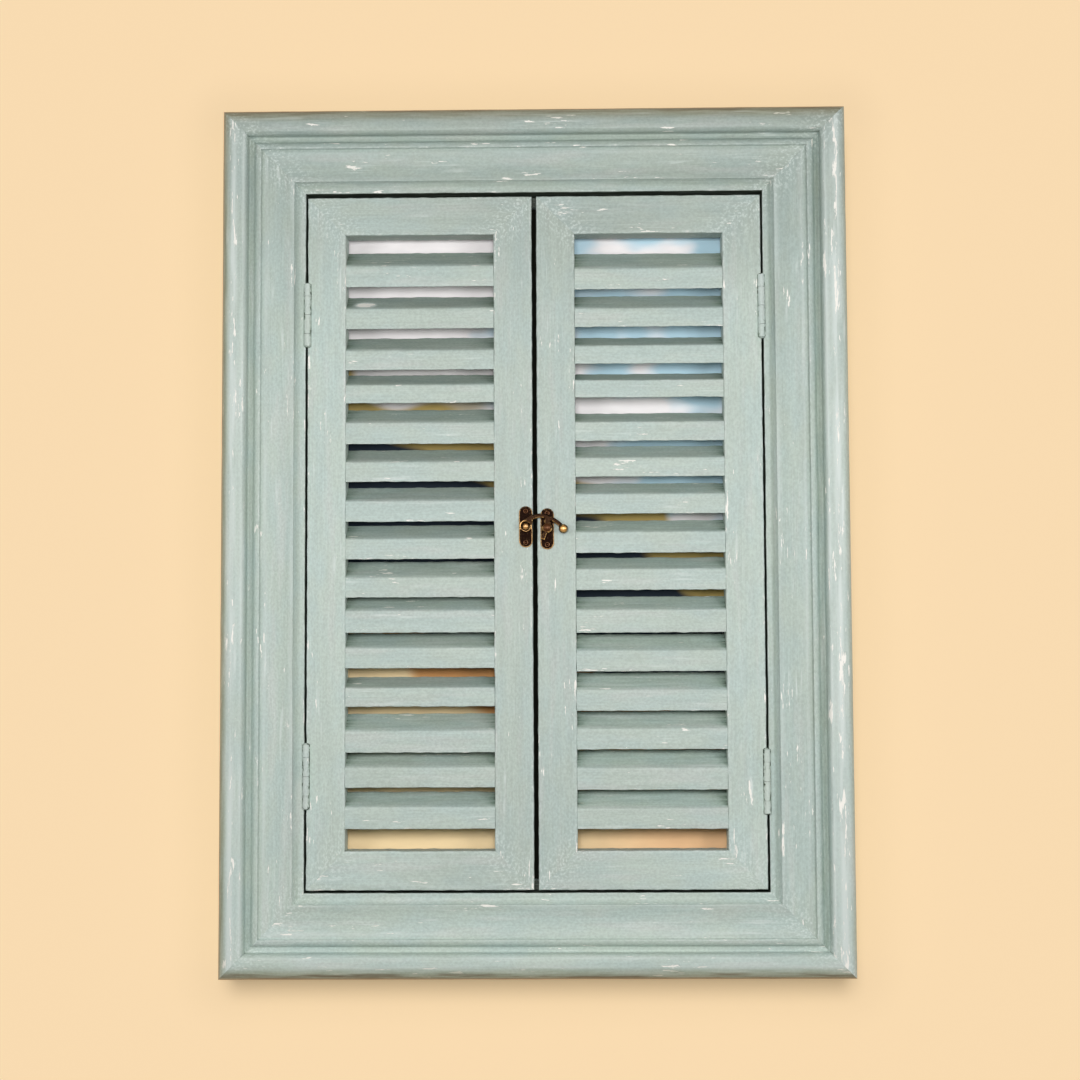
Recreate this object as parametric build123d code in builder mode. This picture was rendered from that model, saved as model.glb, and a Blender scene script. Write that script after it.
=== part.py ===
"""Wall-hung wooden window frame with a pair of louvred shutters over a print.

A mitred moulded frame holds a print and a back board in its rebate. Two mitred shutters with fixed
slats hang on butt hinges in front of the print, and a swing hook on the right shutter drops over a
stud on the left one. X is to the right, Z is up and -Y is the front. The origin is the centre of the
back, which lies against the wall, and a depth is measured from the wall towards the front.
"""

import os
from build123d import *

# Frame and its moulding: widths run from the outer edge inwards, depths from the wall forwards
frame_w = 406.0
frame_h = 562.0
moulding_w = 53.5
bead_w = 16.4
bead_d = 41.0
bead_dome = 0.5
bead_round_r = 5.6
bead_return_w = 2.2
bead_foot_d = 35.0
quirk_w = 3.8
quirk_d = 33.4
fillet_w = 4.6
fillet_d = 36.0
fillet_slope = 0.6
step_w = 2.4
hollow_d = 34.4
hollow_sag = 1.7
cove_w = 4.1
cove_sag = 0.8
lip_w = 2.9
lip_d = 30.0
stop_w = 6.0
stop_gap = 0.5
rebate_w = 10.5
rebate_d = 5.5
quarter_round_share = 0.7071

# Print, back board and the pins that hold them
print_t = 1.5
sheet_gap = 0.5
pin_head_r = 1.3
pin_shank_r = 0.7
pin_l = 11.0
side_pin_count = 3
end_pin_count = 2

# Keyhole hangers let into the back of the top rail
hanger_x = 120.0
hanger_w = 16.0
hanger_h = 38.0
hanger_t = 1.5
keyhole_r = 4.5
keyhole_slot_w = 4.6
keyhole_slot_l = 9.0
pocket_d = 7.0
pocket_margin = 1.2
hanger_screw_z = 14.5
hanger_screw_head_r = 3.0
hanger_screw_shank_r = 1.5
hanger_screw_l = 14.0

# Shutters
side_gap = 1.45
top_gap = 2.9
bottom_gap = 1.75
centre_gap = 3.0
shutter_t = 16.0
member_w = 25.0
member_soft = 1.0

# Slats: each table row is (place in pitches, face height, rise), as shares off the regular slat
slat_face_h = 13.2
slat_rise = 11.0
slat_run = 14.3
slat_setback = 0.3
slat_soft = 0.8
slat_top_room = 30.1
slat_bottom_room = 19.55
left_slat_shares = (
    (0.06, 0.04, 0.19),
    (-0.05, 0.01, 0.04),
    (-0.14, -0.02, 0.06),
    (-0.02, -0.10, -0.13),
    (-0.06, 0.05, 0.05),
    (-0.06, -0.02, -0.05),
    (-0.09, 0.02, 0.02),
    (-0.07, 0.00, 0.00),
    (-0.07, -0.02, 0.12),
    (0.05, 0.08, 0.00),
    (0.11, -0.01, 0.00),
    (0.12, -0.08, -0.29),
    (-0.04, 0.06, 0.10),
    (0.05, -0.02, 0.00),
    (0.02, 0.07, -0.08),
)
right_slat_shares = (
    (-0.05, 0.04, 0.30),
    (-0.06, -0.07, 0.08),
    (-0.02, -0.09, -0.24),
    (0.09, -0.14, -0.37),
    (-0.03, -0.05, -0.25),
    (0.03, -0.06, -0.08),
    (0.08, -0.02, -0.16),
    (0.08, 0.03, -0.14),
    (0.12, 0.03, -0.16),
    (0.04, 0.12, -0.08),
    (0.01, 0.02, 0.10),
    (0.00, 0.03, 0.12),
    (0.01, 0.01, 0.10),
    (-0.01, 0.06, 0.12),
    (-0.02, 0.00, 0.11),
)

# Butt hinges: each knuckle is (start from one end, length), as shares of the barrel's length
hinge_top_room = 76.1
hinge_bottom_room = 71.05
hinge_inset = 1.0
barrel_l = 41.0
knuckle_r = 2.5
knuckle_gap = 0.2
barrel_lift = 0.3
leaf_t = 0.65
leaf_d = 13.5
hinge_pin_r = 1.1
hinge_pin_fit = 0.05
hinge_cap_r = 2.2
hinge_cap_h = 0.9
leaf_screw_z = 12.5
leaf_screw_in_d = 8.0
leaf_screw_head_r = 2.1
leaf_screw_shank_r = 1.0
leaf_screw_l = 10.0
frame_knuckle_shares = ((0.0, 0.2), (0.5, 0.3))
shutter_knuckle_shares = ((0.2, 0.3), (0.8, 0.2))
hinge_slip_shares = {-1: -0.05, 1: 0.05}

# Swing latch: two plates, a stud on the left one and a hook riveted to the right one
plate_w = 8.8
plate_h = 26.8
plate_t = 1.0
plate_soft = 0.35
latch_z = 6.6
catch_plate_edge = 0.1
catch_plate_lift = 0.8
hook_plate_edge = 2.0
hook_plate_drop = 0.6
plate_screw_z = 10.2
plate_screw_head_r = 2.3
plate_screw_dome = 0.7
plate_screw_shank_r = 1.1
plate_screw_l = 12.0
stud_r = 2.3
stud_h = 2.5
stud_neck_h = 1.3
stud_lift = 1.1
collar_r = 3.7
collar_h = 0.7
boss_r = 3.3
hook_lift = 1.0
hook_t = 2.0
hook_soft = 0.45
hook_crevice_r = 0.4
hook_play = 0.1
hub_r = 3.4
band_w = 2.7
stem_w = 4.4
arch_h = 8.9
claw_gap = 0.65
claw_t = 1.25
claw_leg_l = 2.2
bump_r = 1.5
tail_reach = 10.5
tail_drop = 0.8
ball_r = 3.0
ball_lift = 0.6
tongue_reach = 2.9
tongue_drop = 7.55
rivet_r = 1.5
rivet_fit = 0.05
rivet_head_r = 2.9
rivet_head_h = 1.3
rivet_tail_r = 2.1
crossing_share = (0.03, 0.74)
apex_share = (-0.50, 1.00)
arch_end_share = (-0.88, 0.50)
bump_share = (-0.74, 0.82)
tail_bend_share = (0.62, 0.40)

# Clearances and overrun shared by cuts
screw_fit = 0.05
overrun = 1.0

# Sizes that follow from those above
FRONT = Vector(0, -1, 0)
RIGHT = Vector(1, 0, 0)
UP = Vector(0, 0, 1)
LEFT_SIDE = -1
RIGHT_SIDE = 1
opening_w = frame_w - 2 * moulding_w
opening_h = frame_h - 2 * moulding_w
shutter_w = (opening_w - 2 * side_gap - centre_gap) / 2
shutter_h = opening_h - top_gap - bottom_gap
shutter_z = (bottom_gap - top_gap) / 2
shutter_x = (centre_gap + shutter_w) / 2
shutter_back_d = lip_d - shutter_t
louvre_w = shutter_w - 2 * member_w
louvre_h = shutter_h - 2 * member_w
slat_first_z = shutter_z + louvre_h / 2 - slat_top_room
slat_pitch = (louvre_h - slat_top_room - slat_bottom_room) / (len(left_slat_shares) - 1)
hinge_upper_z = shutter_z + shutter_h / 2 - hinge_top_room
hinge_lower_z = shutter_z - shutter_h / 2 + hinge_bottom_room
stop_d = shutter_back_d - stop_gap
rebate_u = moulding_w + stop_w - rebate_w
sheet_w = frame_w - 2 * (rebate_u + sheet_gap)
sheet_h = frame_h - 2 * (rebate_u + sheet_gap)
board_t = rebate_d - print_t
hinge_x = opening_w / 2 - side_gap / 2 - hinge_inset
hinge_d = lip_d + barrel_lift + knuckle_r
lip_out = opening_w / 2 - hinge_x
shutter_out = opening_w / 2 - side_gap - hinge_x
plate_front_d = lip_d + plate_t
catch_x = -(centre_gap / 2 + catch_plate_edge + plate_w / 2)
hook_x = centre_gap / 2 + hook_plate_edge + plate_w / 2
hook_back_d = plate_front_d + hook_lift
hook_front_d = hook_back_d + hook_t
stud_reach = hook_x - catch_x
board_pin = (pin_head_r, pin_shank_r, pin_l)
hanger_screw = (hanger_screw_head_r, hanger_screw_shank_r, hanger_screw_l)
leaf_screw = (leaf_screw_head_r, leaf_screw_shank_r, leaf_screw_l)
plate_screw = (plate_screw_head_r, plate_screw_shank_r, plate_screw_l)

os.makedirs("parts", exist_ok=True)


def save(piece, name):
    """Labels a finished piece and writes it to its own file."""
    piece.part.label = name
    export_step(piece.part, f"parts/{name}.step")


def at(x, depth, z):
    """A point at a depth in front of the wall."""
    return Vector(x, -depth, z)


def cap_radius(half_w, height):
    """Radius of the sphere whose cap has this half width and height."""
    return (half_w**2 + height**2) / (2 * height)


def mitred_length(edge_middle, inward, length, draw_section):
    """A length of moulding along one edge, its ends cut at 45 degrees; the section's x runs inwards."""
    along = inward.cross(FRONT)
    with BuildSketch(Plane(origin=edge_middle, x_dir=inward, z_dir=along)) as section:
        with BuildLine():
            draw_section()
        make_face()
    extrude(section.sketch, amount=length / 2, both=True)
    for end in (-1, 1):
        corner = edge_middle + along * (end * length / 2)
        split(bisect_by=Plane(origin=corner, z_dir=-(along * end) - inward), keep=Keep.TOP)


def screw_body(seat, head_r, shank_r, length, dome=0.0, grow=0.0, mode=Mode.ADD):
    """A screw turned about the seat's normal: countersunk and flush, or with a domed head on the seat."""
    head = head_r + grow
    shank = shank_r + grow
    end = length + grow
    point = end - 2 * shank_r
    with BuildSketch(Plane(origin=seat.origin, x_dir=seat.x_dir, z_dir=-seat.y_dir)) as half:
        with BuildLine():
            if dome:
                RadiusArc((0, -dome), (head, 0), cap_radius(head, dome))
                Polyline((head, 0), (shank, 0), (shank, point), (0, end), (0, -dome))
            else:
                Polyline((0, 0), (head, 0), (shank, head - shank), (shank, point), (0, end), close=True)
        make_face()
    revolve(half.sketch, axis=Axis(seat.origin, seat.z_dir), mode=mode)


# Frame: four mitred lengths of one moulding
def quarter_round(low, high):
    """A convex quarter round that rises steeply from its low end and lies flat at its high end."""
    middle_u = high[0] + (low[0] - high[0]) * quarter_round_share
    middle_d = low[1] + (high[1] - low[1]) * quarter_round_share
    ThreePointArc(low, (middle_u, middle_d), high)


def frame_section():
    """The moulding: bead, quirk, fillet, hollow, cove and lip, then the shutter stop and the rebate."""
    crown_d = bead_d - bead_dome
    side_d = crown_d - bead_round_r
    return_u = bead_w - bead_return_w
    fillet_u = bead_w + quirk_w
    step_u = fillet_u + fillet_w
    hollow_u = step_u + step_w
    lip_u = moulding_w - lip_w
    cove_u = lip_u - cove_w
    stop_u = moulding_w + stop_w
    Line((0, 0), (0, side_d))
    quarter_round((0, side_d), (bead_round_r, crown_d))
    ThreePointArc((bead_round_r, crown_d), ((bead_round_r + return_u) / 2, bead_d), (return_u, crown_d))
    quarter_round((bead_w, bead_foot_d), (return_u, crown_d))
    Polyline((bead_w, bead_foot_d), (bead_w + fillet_slope, quirk_d), (fillet_u, quirk_d))
    quarter_round((fillet_u, quirk_d), (step_u, fillet_d))
    Polyline((step_u, fillet_d), (step_u + fillet_slope, hollow_d), (hollow_u, hollow_d))
    ThreePointArc(
        (hollow_u, hollow_d), ((hollow_u + cove_u) / 2, hollow_d - hollow_sag), (cove_u, hollow_d)
    )
    cove_mid = ((cove_u + lip_u) / 2 - cove_sag, (hollow_d + lip_d) / 2 - cove_sag)
    ThreePointArc((cove_u, hollow_d), cove_mid, (lip_u, lip_d))
    Polyline(
        (lip_u, lip_d),
        (moulding_w, lip_d),
        (moulding_w, stop_d),
        (stop_u, stop_d),
        (stop_u, rebate_d),
        (rebate_u, rebate_d),
        (rebate_u, 0),
        (0, 0),
    )


def pin_seats():
    """Seats of the pins round the back board, in the middle of the stop behind the board."""
    pin_u = rebate_u + sheet_gap + (rebate_w - sheet_gap) / 2
    pin_x = frame_w / 2 - pin_u
    pin_z = frame_h / 2 - pin_u
    places = []
    for sign in (-1, 1):
        for i in range(side_pin_count):
            places.append((sign * pin_x, pin_z * (2 * (i + 1) / (side_pin_count + 1) - 1)))
        for i in range(end_pin_count):
            places.append((pin_x * (2 * (i + 1) / (end_pin_count + 1) - 1), sign * pin_z))
    return [Plane(origin=at(x, 0, z), x_dir=RIGHT, z_dir=FRONT) for x, z in places]


def hanger_seats():
    """Planes on the back of the top rail, one at the middle of each keyhole hanger."""
    hanger_z = frame_h / 2 - rebate_u / 2
    return [Plane(origin=at(side * hanger_x, 0, hanger_z), x_dir=RIGHT, z_dir=FRONT) for side in (-1, 1)]


def hanger_screw_seats():
    """Seats of the two screws of each hanger."""
    return [
        Plane(origin=seat.from_local_coords((0, place, 0)), x_dir=RIGHT, z_dir=FRONT)
        for seat in hanger_seats()
        for place in (-hanger_screw_z, hanger_screw_z)
    ]


def hinge_planes(side):
    """Planes across the upper and lower barrels of one side: x outwards, y to the wall, z on the pin."""
    slip = hinge_slip_shares[side] * barrel_l
    heights = (hinge_upper_z + slip, hinge_lower_z - slip)
    outwards = RIGHT * side
    return [Plane(origin=at(side * hinge_x, hinge_d, z), x_dir=outwards, z_dir=UP * side) for z in heights]


def leaf_screw_seats(side, face_out, drive):
    """Seats of the screws of one side's leaves, on the leaf's bare face and driven outwards or inwards."""
    seats = []
    for plane in hinge_planes(side):
        for place in (-leaf_screw_z, leaf_screw_z):
            middle = plane.from_local_coords((face_out, hinge_d - lip_d + leaf_screw_in_d, place))
            seats.append(Plane(origin=middle, x_dir=UP, z_dir=RIGHT * (side * drive)))
    return seats


def cut_pin_holes():
    """Holes for all pins that the piece in hand meets."""
    for seat in pin_seats():
        screw_body(seat, *board_pin, grow=screw_fit, mode=Mode.SUBTRACT)


def cut_hanger_screw_holes():
    """Holes for the screws of both hangers."""
    for seat in hanger_screw_seats():
        screw_body(seat, *hanger_screw, grow=screw_fit, mode=Mode.SUBTRACT)


def cut_leaf_screw_holes(side, face_out, drive):
    """Holes for the screws of one side's hinge leaves."""
    for seat in leaf_screw_seats(side, face_out, drive):
        screw_body(seat, *leaf_screw, grow=screw_fit, mode=Mode.SUBTRACT)


with BuildPart() as frame_top_rail:
    mitred_length(at(0, 0, frame_h / 2), -UP, frame_w, frame_section)
    for seat in hanger_seats():
        with BuildSketch(seat):
            RectangleRounded(hanger_w, hanger_h, keyhole_r)
        extrude(amount=hanger_t, mode=Mode.SUBTRACT)
        with BuildSketch(seat):
            SlotCenterToCenter(keyhole_slot_l, 2 * (keyhole_r + pocket_margin), rotation=90)
        extrude(amount=pocket_d, mode=Mode.SUBTRACT)
    cut_hanger_screw_holes()
    cut_pin_holes()
save(frame_top_rail, "frame_top_rail")

with BuildPart() as frame_bottom_rail:
    mitred_length(at(0, 0, -frame_h / 2), UP, frame_w, frame_section)
    cut_pin_holes()
save(frame_bottom_rail, "frame_bottom_rail")

with BuildPart() as frame_left_stile:
    mitred_length(at(-frame_w / 2, 0, 0), RIGHT, frame_h, frame_section)
    cut_pin_holes()
    cut_leaf_screw_holes(LEFT_SIDE, lip_out - leaf_t, 1)
save(frame_left_stile, "frame_left_stile")

with BuildPart() as frame_right_stile:
    mitred_length(at(frame_w / 2, 0, 0), -RIGHT, frame_h, frame_section)
    cut_pin_holes()
    cut_leaf_screw_holes(RIGHT_SIDE, lip_out - leaf_t, 1)
save(frame_right_stile, "frame_right_stile")

# Print on card and the hardboard behind it, pinned through their edges into the stop
with BuildPart() as picture_print:
    with BuildSketch(Plane(origin=at(0, board_t, 0), x_dir=RIGHT, z_dir=FRONT)):
        Rectangle(sheet_w, sheet_h)
    extrude(amount=print_t)
    cut_pin_holes()
save(picture_print, "picture_print")

with BuildPart() as back_board:
    with BuildSketch(Plane(origin=at(0, 0, 0), x_dir=RIGHT, z_dir=FRONT)):
        Rectangle(sheet_w, sheet_h)
    extrude(amount=board_t)
    cut_pin_holes()
save(back_board, "back_board")

with BuildPart() as back_board_pins:
    for seat in pin_seats():
        screw_body(seat, *board_pin)
save(back_board_pins, "back_board_pins")

# Keyhole hangers: the screw head goes in at the round end and the slot drops over its shank
with BuildPart() as hanger_plates:
    for seat in hanger_seats():
        with BuildSketch(seat):
            RectangleRounded(hanger_w - screw_fit, hanger_h - screw_fit, keyhole_r)
            SlotCenterToCenter(keyhole_slot_l, keyhole_slot_w, rotation=90, mode=Mode.SUBTRACT)
            with Locations((0, -keyhole_slot_l / 2)):
                Circle(keyhole_r, mode=Mode.SUBTRACT)
        extrude(amount=hanger_t)
    cut_hanger_screw_holes()
save(hanger_plates, "hanger_plates")

with BuildPart() as hanger_screws:
    for seat in hanger_screw_seats():
        screw_body(seat, *hanger_screw)
save(hanger_screws, "hanger_screws")


# Hinges: each leaf is a plate in the gap, curled round the pin in every other row
def hinge_leaf(plane, inner_out, knuckle_shares):
    """One leaf of a hinge, cut back where the other leaf's knuckles turn."""
    back_y = hinge_d - lip_d + leaf_d
    notch_y = knuckle_r + 2 * barrel_lift
    middle_out = inner_out + leaf_t / 2
    with BuildSketch(plane.offset(-barrel_l / 2)) as leaf:
        with Locations((middle_out, (notch_y + back_y) / 2)):
            Rectangle(leaf_t, back_y - notch_y)
    extrude(leaf.sketch, amount=barrel_l)
    for start_share, length_share in knuckle_shares:
        low = (start_share - 1 / 2) * barrel_l + knuckle_gap / 2
        with BuildSketch(plane.offset(low)) as knuckle:
            Circle(knuckle_r)
            with Locations((middle_out, (notch_y + overrun) / 2)):
                Rectangle(leaf_t, notch_y + overrun)
        extrude(knuckle.sketch, amount=length_share * barrel_l - knuckle_gap)
    with BuildSketch(plane.offset(-barrel_l / 2 - overrun)) as bore:
        Circle(hinge_pin_r + hinge_pin_fit)
    extrude(bore.sketch, amount=barrel_l + 2 * overrun, mode=Mode.SUBTRACT)


with BuildPart() as frame_hinge_leaves:
    for side in (LEFT_SIDE, RIGHT_SIDE):
        for plane in hinge_planes(side):
            hinge_leaf(plane, lip_out - leaf_t, frame_knuckle_shares)
        cut_leaf_screw_holes(side, lip_out - leaf_t, 1)
save(frame_hinge_leaves, "frame_hinge_leaves")

with BuildPart() as frame_leaf_screws:
    for side in (LEFT_SIDE, RIGHT_SIDE):
        for seat in leaf_screw_seats(side, lip_out - leaf_t, 1):
            screw_body(seat, *leaf_screw)
save(frame_leaf_screws, "frame_leaf_screws")

with BuildPart() as hinge_pins:
    for plane in hinge_planes(LEFT_SIDE) + hinge_planes(RIGHT_SIDE):
        cap_z = barrel_l / 2
        tip_z = cap_z + hinge_cap_h
        round_r = cap_radius(hinge_cap_r, hinge_cap_h)
        with BuildSketch(Plane(origin=plane.origin, x_dir=plane.x_dir, z_dir=-plane.y_dir)):
            with BuildLine():
                RadiusArc((0, tip_z), (hinge_cap_r, cap_z), round_r)
                Line((hinge_cap_r, cap_z), (hinge_pin_r, cap_z))
                Line((hinge_pin_r, cap_z), (hinge_pin_r, -cap_z))
                Line((hinge_pin_r, -cap_z), (hinge_cap_r, -cap_z))
                RadiusArc((hinge_cap_r, -cap_z), (0, -tip_z), round_r)
                Line((0, -tip_z), (0, tip_z))
            make_face()
        revolve(axis=Axis(plane.origin, plane.z_dir))
save(hinge_pins, "hinge_pins")


# Shutters: mitred stiles and rails with eased edges
def shutter_section():
    """A plain bar with its two front edges eased."""
    side_d = lip_d - member_soft
    RadiusArc((0, side_d), (member_soft, lip_d), member_soft)
    Line((member_soft, lip_d), (member_w - member_soft, lip_d))
    RadiusArc((member_w - member_soft, lip_d), (member_w, side_d), member_soft)
    Polyline((member_w, side_d), (member_w, shutter_back_d), (0, shutter_back_d), (0, side_d))


def plate_screw_seats(plate_x, plate_z):
    """Seats of the two screws on the front of one latch plate."""
    return [
        Plane(origin=at(plate_x, plate_front_d, plate_z + place), x_dir=RIGHT, z_dir=-FRONT)
        for place in (-plate_screw_z, plate_screw_z)
    ]


def cut_plate_screw_holes(plate_x, plate_z):
    """Holes for the shanks of one latch plate's screws."""
    for seat in plate_screw_seats(plate_x, plate_z):
        screw_body(seat, *plate_screw, dome=plate_screw_dome, grow=screw_fit, mode=Mode.SUBTRACT)


catch_z = latch_z + catch_plate_lift
hook_z = latch_z - hook_plate_drop
latch_places = {LEFT_SIDE: (catch_x, catch_z), RIGHT_SIDE: (hook_x, hook_z)}
side_names = {LEFT_SIDE: "left", RIGHT_SIDE: "right"}
slat_shares = {LEFT_SIDE: left_slat_shares, RIGHT_SIDE: right_slat_shares}

for side in (LEFT_SIDE, RIGHT_SIDE):
    name = side_names[side]
    middle_x = side * shutter_x
    outwards = RIGHT * side

    with BuildPart() as shutter_top_rail:
        mitred_length(at(middle_x, 0, shutter_z + shutter_h / 2), -UP, shutter_w, shutter_section)
    save(shutter_top_rail, f"{name}_shutter_top_rail")

    with BuildPart() as shutter_bottom_rail:
        mitred_length(at(middle_x, 0, shutter_z - shutter_h / 2), UP, shutter_w, shutter_section)
    save(shutter_bottom_rail, f"{name}_shutter_bottom_rail")

    with BuildPart() as hinge_stile:
        mitred_length(
            at(middle_x, 0, shutter_z) + outwards * (shutter_w / 2), -outwards, shutter_h, shutter_section
        )
        cut_leaf_screw_holes(side, shutter_out + leaf_t, -1)
    save(hinge_stile, f"{name}_shutter_hinge_stile")

    with BuildPart() as meeting_stile:
        mitred_length(
            at(middle_x, 0, shutter_z) - outwards * (shutter_w / 2), outwards, shutter_h, shutter_section
        )
        cut_plate_screw_holes(*latch_places[side])
    save(meeting_stile, f"{name}_shutter_meeting_stile")

    for number, (place_share, face_share, rise_share) in enumerate(slat_shares[side]):
        slat_z = slat_first_z - (number - place_share) * slat_pitch
        half_face = slat_face_h * (1 + face_share) / 2
        rise = slat_rise * (1 + rise_share)
        face_d = lip_d - slat_setback
        with BuildPart() as slat:
            with BuildSketch(Plane(origin=at(middle_x, 0, slat_z), x_dir=FRONT, z_dir=-RIGHT)) as section:
                with BuildLine():
                    Polyline(
                        (face_d, -half_face),
                        (face_d, half_face),
                        (face_d - slat_run, half_face + rise),
                        (face_d - slat_run, rise - half_face),
                        close=True,
                    )
                make_face()
                fillet(section.vertices().sort_by(Axis.X)[-2:], radius=slat_soft)
            extrude(amount=louvre_w / 2, both=True)
        save(slat, f"{name}_slat_{number + 1:02d}")

    with BuildPart() as shutter_hinge_leaves:
        for plane in hinge_planes(side):
            hinge_leaf(plane, shutter_out, shutter_knuckle_shares)
        cut_leaf_screw_holes(side, shutter_out + leaf_t, -1)
    save(shutter_hinge_leaves, f"{name}_hinge_leaves")

    with BuildPart() as shutter_leaf_screws:
        for seat in leaf_screw_seats(side, shutter_out + leaf_t, -1):
            screw_body(seat, *leaf_screw)
    save(shutter_leaf_screws, f"{name}_leaf_screws")


# Latch: round-ended plates with eased front edges
def latch_plate(plate_x, plate_z):
    """A plate on the front of a meeting stile."""
    with BuildSketch(Plane(origin=at(plate_x, lip_d, plate_z), x_dir=RIGHT, z_dir=FRONT)) as outline:
        SlotOverall(plate_h, plate_w, rotation=90)
    plate = extrude(outline.sketch, amount=plate_t)
    chamfer(plate.faces().sort_by(Axis.Y)[0].edges(), length=plate_soft)


with BuildPart() as catch_plate:
    latch_plate(catch_x, catch_z)
    stud_foot = at(catch_x, plate_front_d, latch_z + stud_lift)
    collar_top_r = collar_r - collar_h / 2
    with BuildSketch(Plane(origin=stud_foot, x_dir=RIGHT, z_dir=-UP)):
        with BuildLine():
            Polyline((0, 0), (collar_r, 0), (collar_top_r, collar_h), (stud_r, collar_h))
            Line((stud_r, collar_h), (stud_r, stud_neck_h))
            RadiusArc((stud_r, stud_neck_h), (0, stud_h), -cap_radius(stud_r, stud_h - stud_neck_h))
            Line((0, stud_h), (0, 0))
        make_face()
    revolve(axis=Axis(stud_foot, FRONT))
    cut_plate_screw_holes(catch_x, catch_z)
save(catch_plate, "catch_plate")

with BuildPart() as catch_plate_screws:
    for seat in plate_screw_seats(catch_x, catch_z):
        screw_body(seat, *plate_screw, dome=plate_screw_dome)
save(catch_plate_screws, "catch_plate_screws")


def rivet_section(grow=0.0):
    """Half the rivet's tail and shank: flared into the plate's back, then straight; y runs forwards."""
    tail = rivet_tail_r + grow
    shank = rivet_r + grow
    Polyline((0, 0), (tail, 0), (shank, tail - shank), (shank, rivet_top_h))


rivet_foot = at(hook_x, lip_d, latch_z)
rivet_plane = Plane(origin=rivet_foot, x_dir=RIGHT, z_dir=-UP)
rivet_top_h = hook_front_d + hook_play - lip_d

with BuildPart() as hook_plate:
    latch_plate(hook_x, hook_z)
    with BuildSketch(Plane(origin=at(hook_x, plate_front_d, latch_z), x_dir=RIGHT, z_dir=FRONT)):
        Circle(boss_r)
    extrude(amount=hook_lift - hook_play)
    with BuildSketch(rivet_plane):
        with BuildLine():
            rivet_section(screw_fit)
            Polyline((rivet_r + screw_fit, rivet_top_h), (0, rivet_top_h), (0, 0))
        make_face()
    revolve(axis=Axis(rivet_foot, FRONT), mode=Mode.SUBTRACT)
    cut_plate_screw_holes(hook_x, hook_z)
save(hook_plate, "hook_plate")

with BuildPart() as hook_plate_screws:
    for seat in plate_screw_seats(hook_x, hook_z):
        screw_body(seat, *plate_screw, dome=plate_screw_dome)
save(hook_plate_screws, "hook_plate_screws")

with BuildPart() as hook_rivet:
    head_top_h = rivet_top_h + rivet_head_h
    with BuildSketch(rivet_plane):
        with BuildLine():
            rivet_section()
            Line((rivet_r, rivet_top_h), (rivet_head_r, rivet_top_h))
            RadiusArc((rivet_head_r, rivet_top_h), (0, head_top_h), -cap_radius(rivet_head_r, rivet_head_h))
            Line((0, head_top_h), (0, 0))
        make_face()
    revolve(axis=Axis(rivet_foot, FRONT))
save(hook_rivet, "hook_rivet")

with BuildPart() as latch_hook:
    crossing = (crossing_share[0] * stud_reach, crossing_share[1] * arch_h)
    claw_middle = (-stud_reach, stud_lift)
    claw_in_r = stud_r + claw_gap
    claw_out_r = claw_in_r + claw_t
    ball_middle = (tail_reach, -tail_drop)
    hanging = (Align.CENTER, Align.MAX)
    with BuildSketch(Plane(origin=at(hook_x, hook_back_d, latch_z), x_dir=RIGHT, z_dir=FRONT)):
        Circle(hub_r)
        with BuildLine():
            Line((0, 0), crossing)
        trace(line_width=stem_w)
        with BuildLine():
            ThreePointArc(
                crossing,
                (apex_share[0] * stud_reach, apex_share[1] * arch_h - band_w / 2),
                (arch_end_share[0] * stud_reach, arch_end_share[1] * arch_h),
            )
        trace(line_width=band_w)
        with BuildLine():
            ThreePointArc(
                crossing, (tail_bend_share[0] * tail_reach, tail_bend_share[1] * arch_h), ball_middle
            )
        trace(line_width=band_w)
        with BuildLine():
            Line((0, 0), (-tongue_reach, -tongue_drop))
        trace(line_width=band_w)
        with BuildSketch():
            with Locations((bump_share[0] * stud_reach, bump_share[1] * arch_h)):
                Circle(bump_r)
            with Locations(claw_middle):
                Circle(claw_out_r)
            make_hull()
        with Locations(claw_middle):
            Circle(claw_in_r, mode=Mode.SUBTRACT)
            Rectangle(2 * claw_out_r, claw_leg_l, align=hanging)
            Rectangle(2 * claw_in_r, claw_out_r + overrun, align=hanging, mode=Mode.SUBTRACT)
        with Locations((-stud_reach, stud_lift - claw_leg_l)):
            Rectangle(2 * claw_out_r, claw_out_r, align=hanging, mode=Mode.SUBTRACT)
        offset(amount=hook_crevice_r)
        offset(amount=-hook_crevice_r)
    bar = extrude(amount=hook_t)
    chamfer(bar.faces().sort_by(Axis.Y)[0].outer_wire().edges(), length=hook_soft)
    with BuildSketch(Plane(origin=at(hook_x, hook_back_d, latch_z), x_dir=RIGHT, z_dir=FRONT)):
        Circle(rivet_r + rivet_fit)
    extrude(amount=hook_t, mode=Mode.SUBTRACT)
    with Locations(at(hook_x + tail_reach, hook_front_d + ball_lift, latch_z - tail_drop)):
        Sphere(ball_r)
save(latch_hook, "latch_hook")
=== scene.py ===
from math import atan2, cos, hypot, pi, sin, sqrt

import bmesh
import bpy
import numpy as np
from mathutils import Matrix, Vector, kdtree, noise


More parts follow.
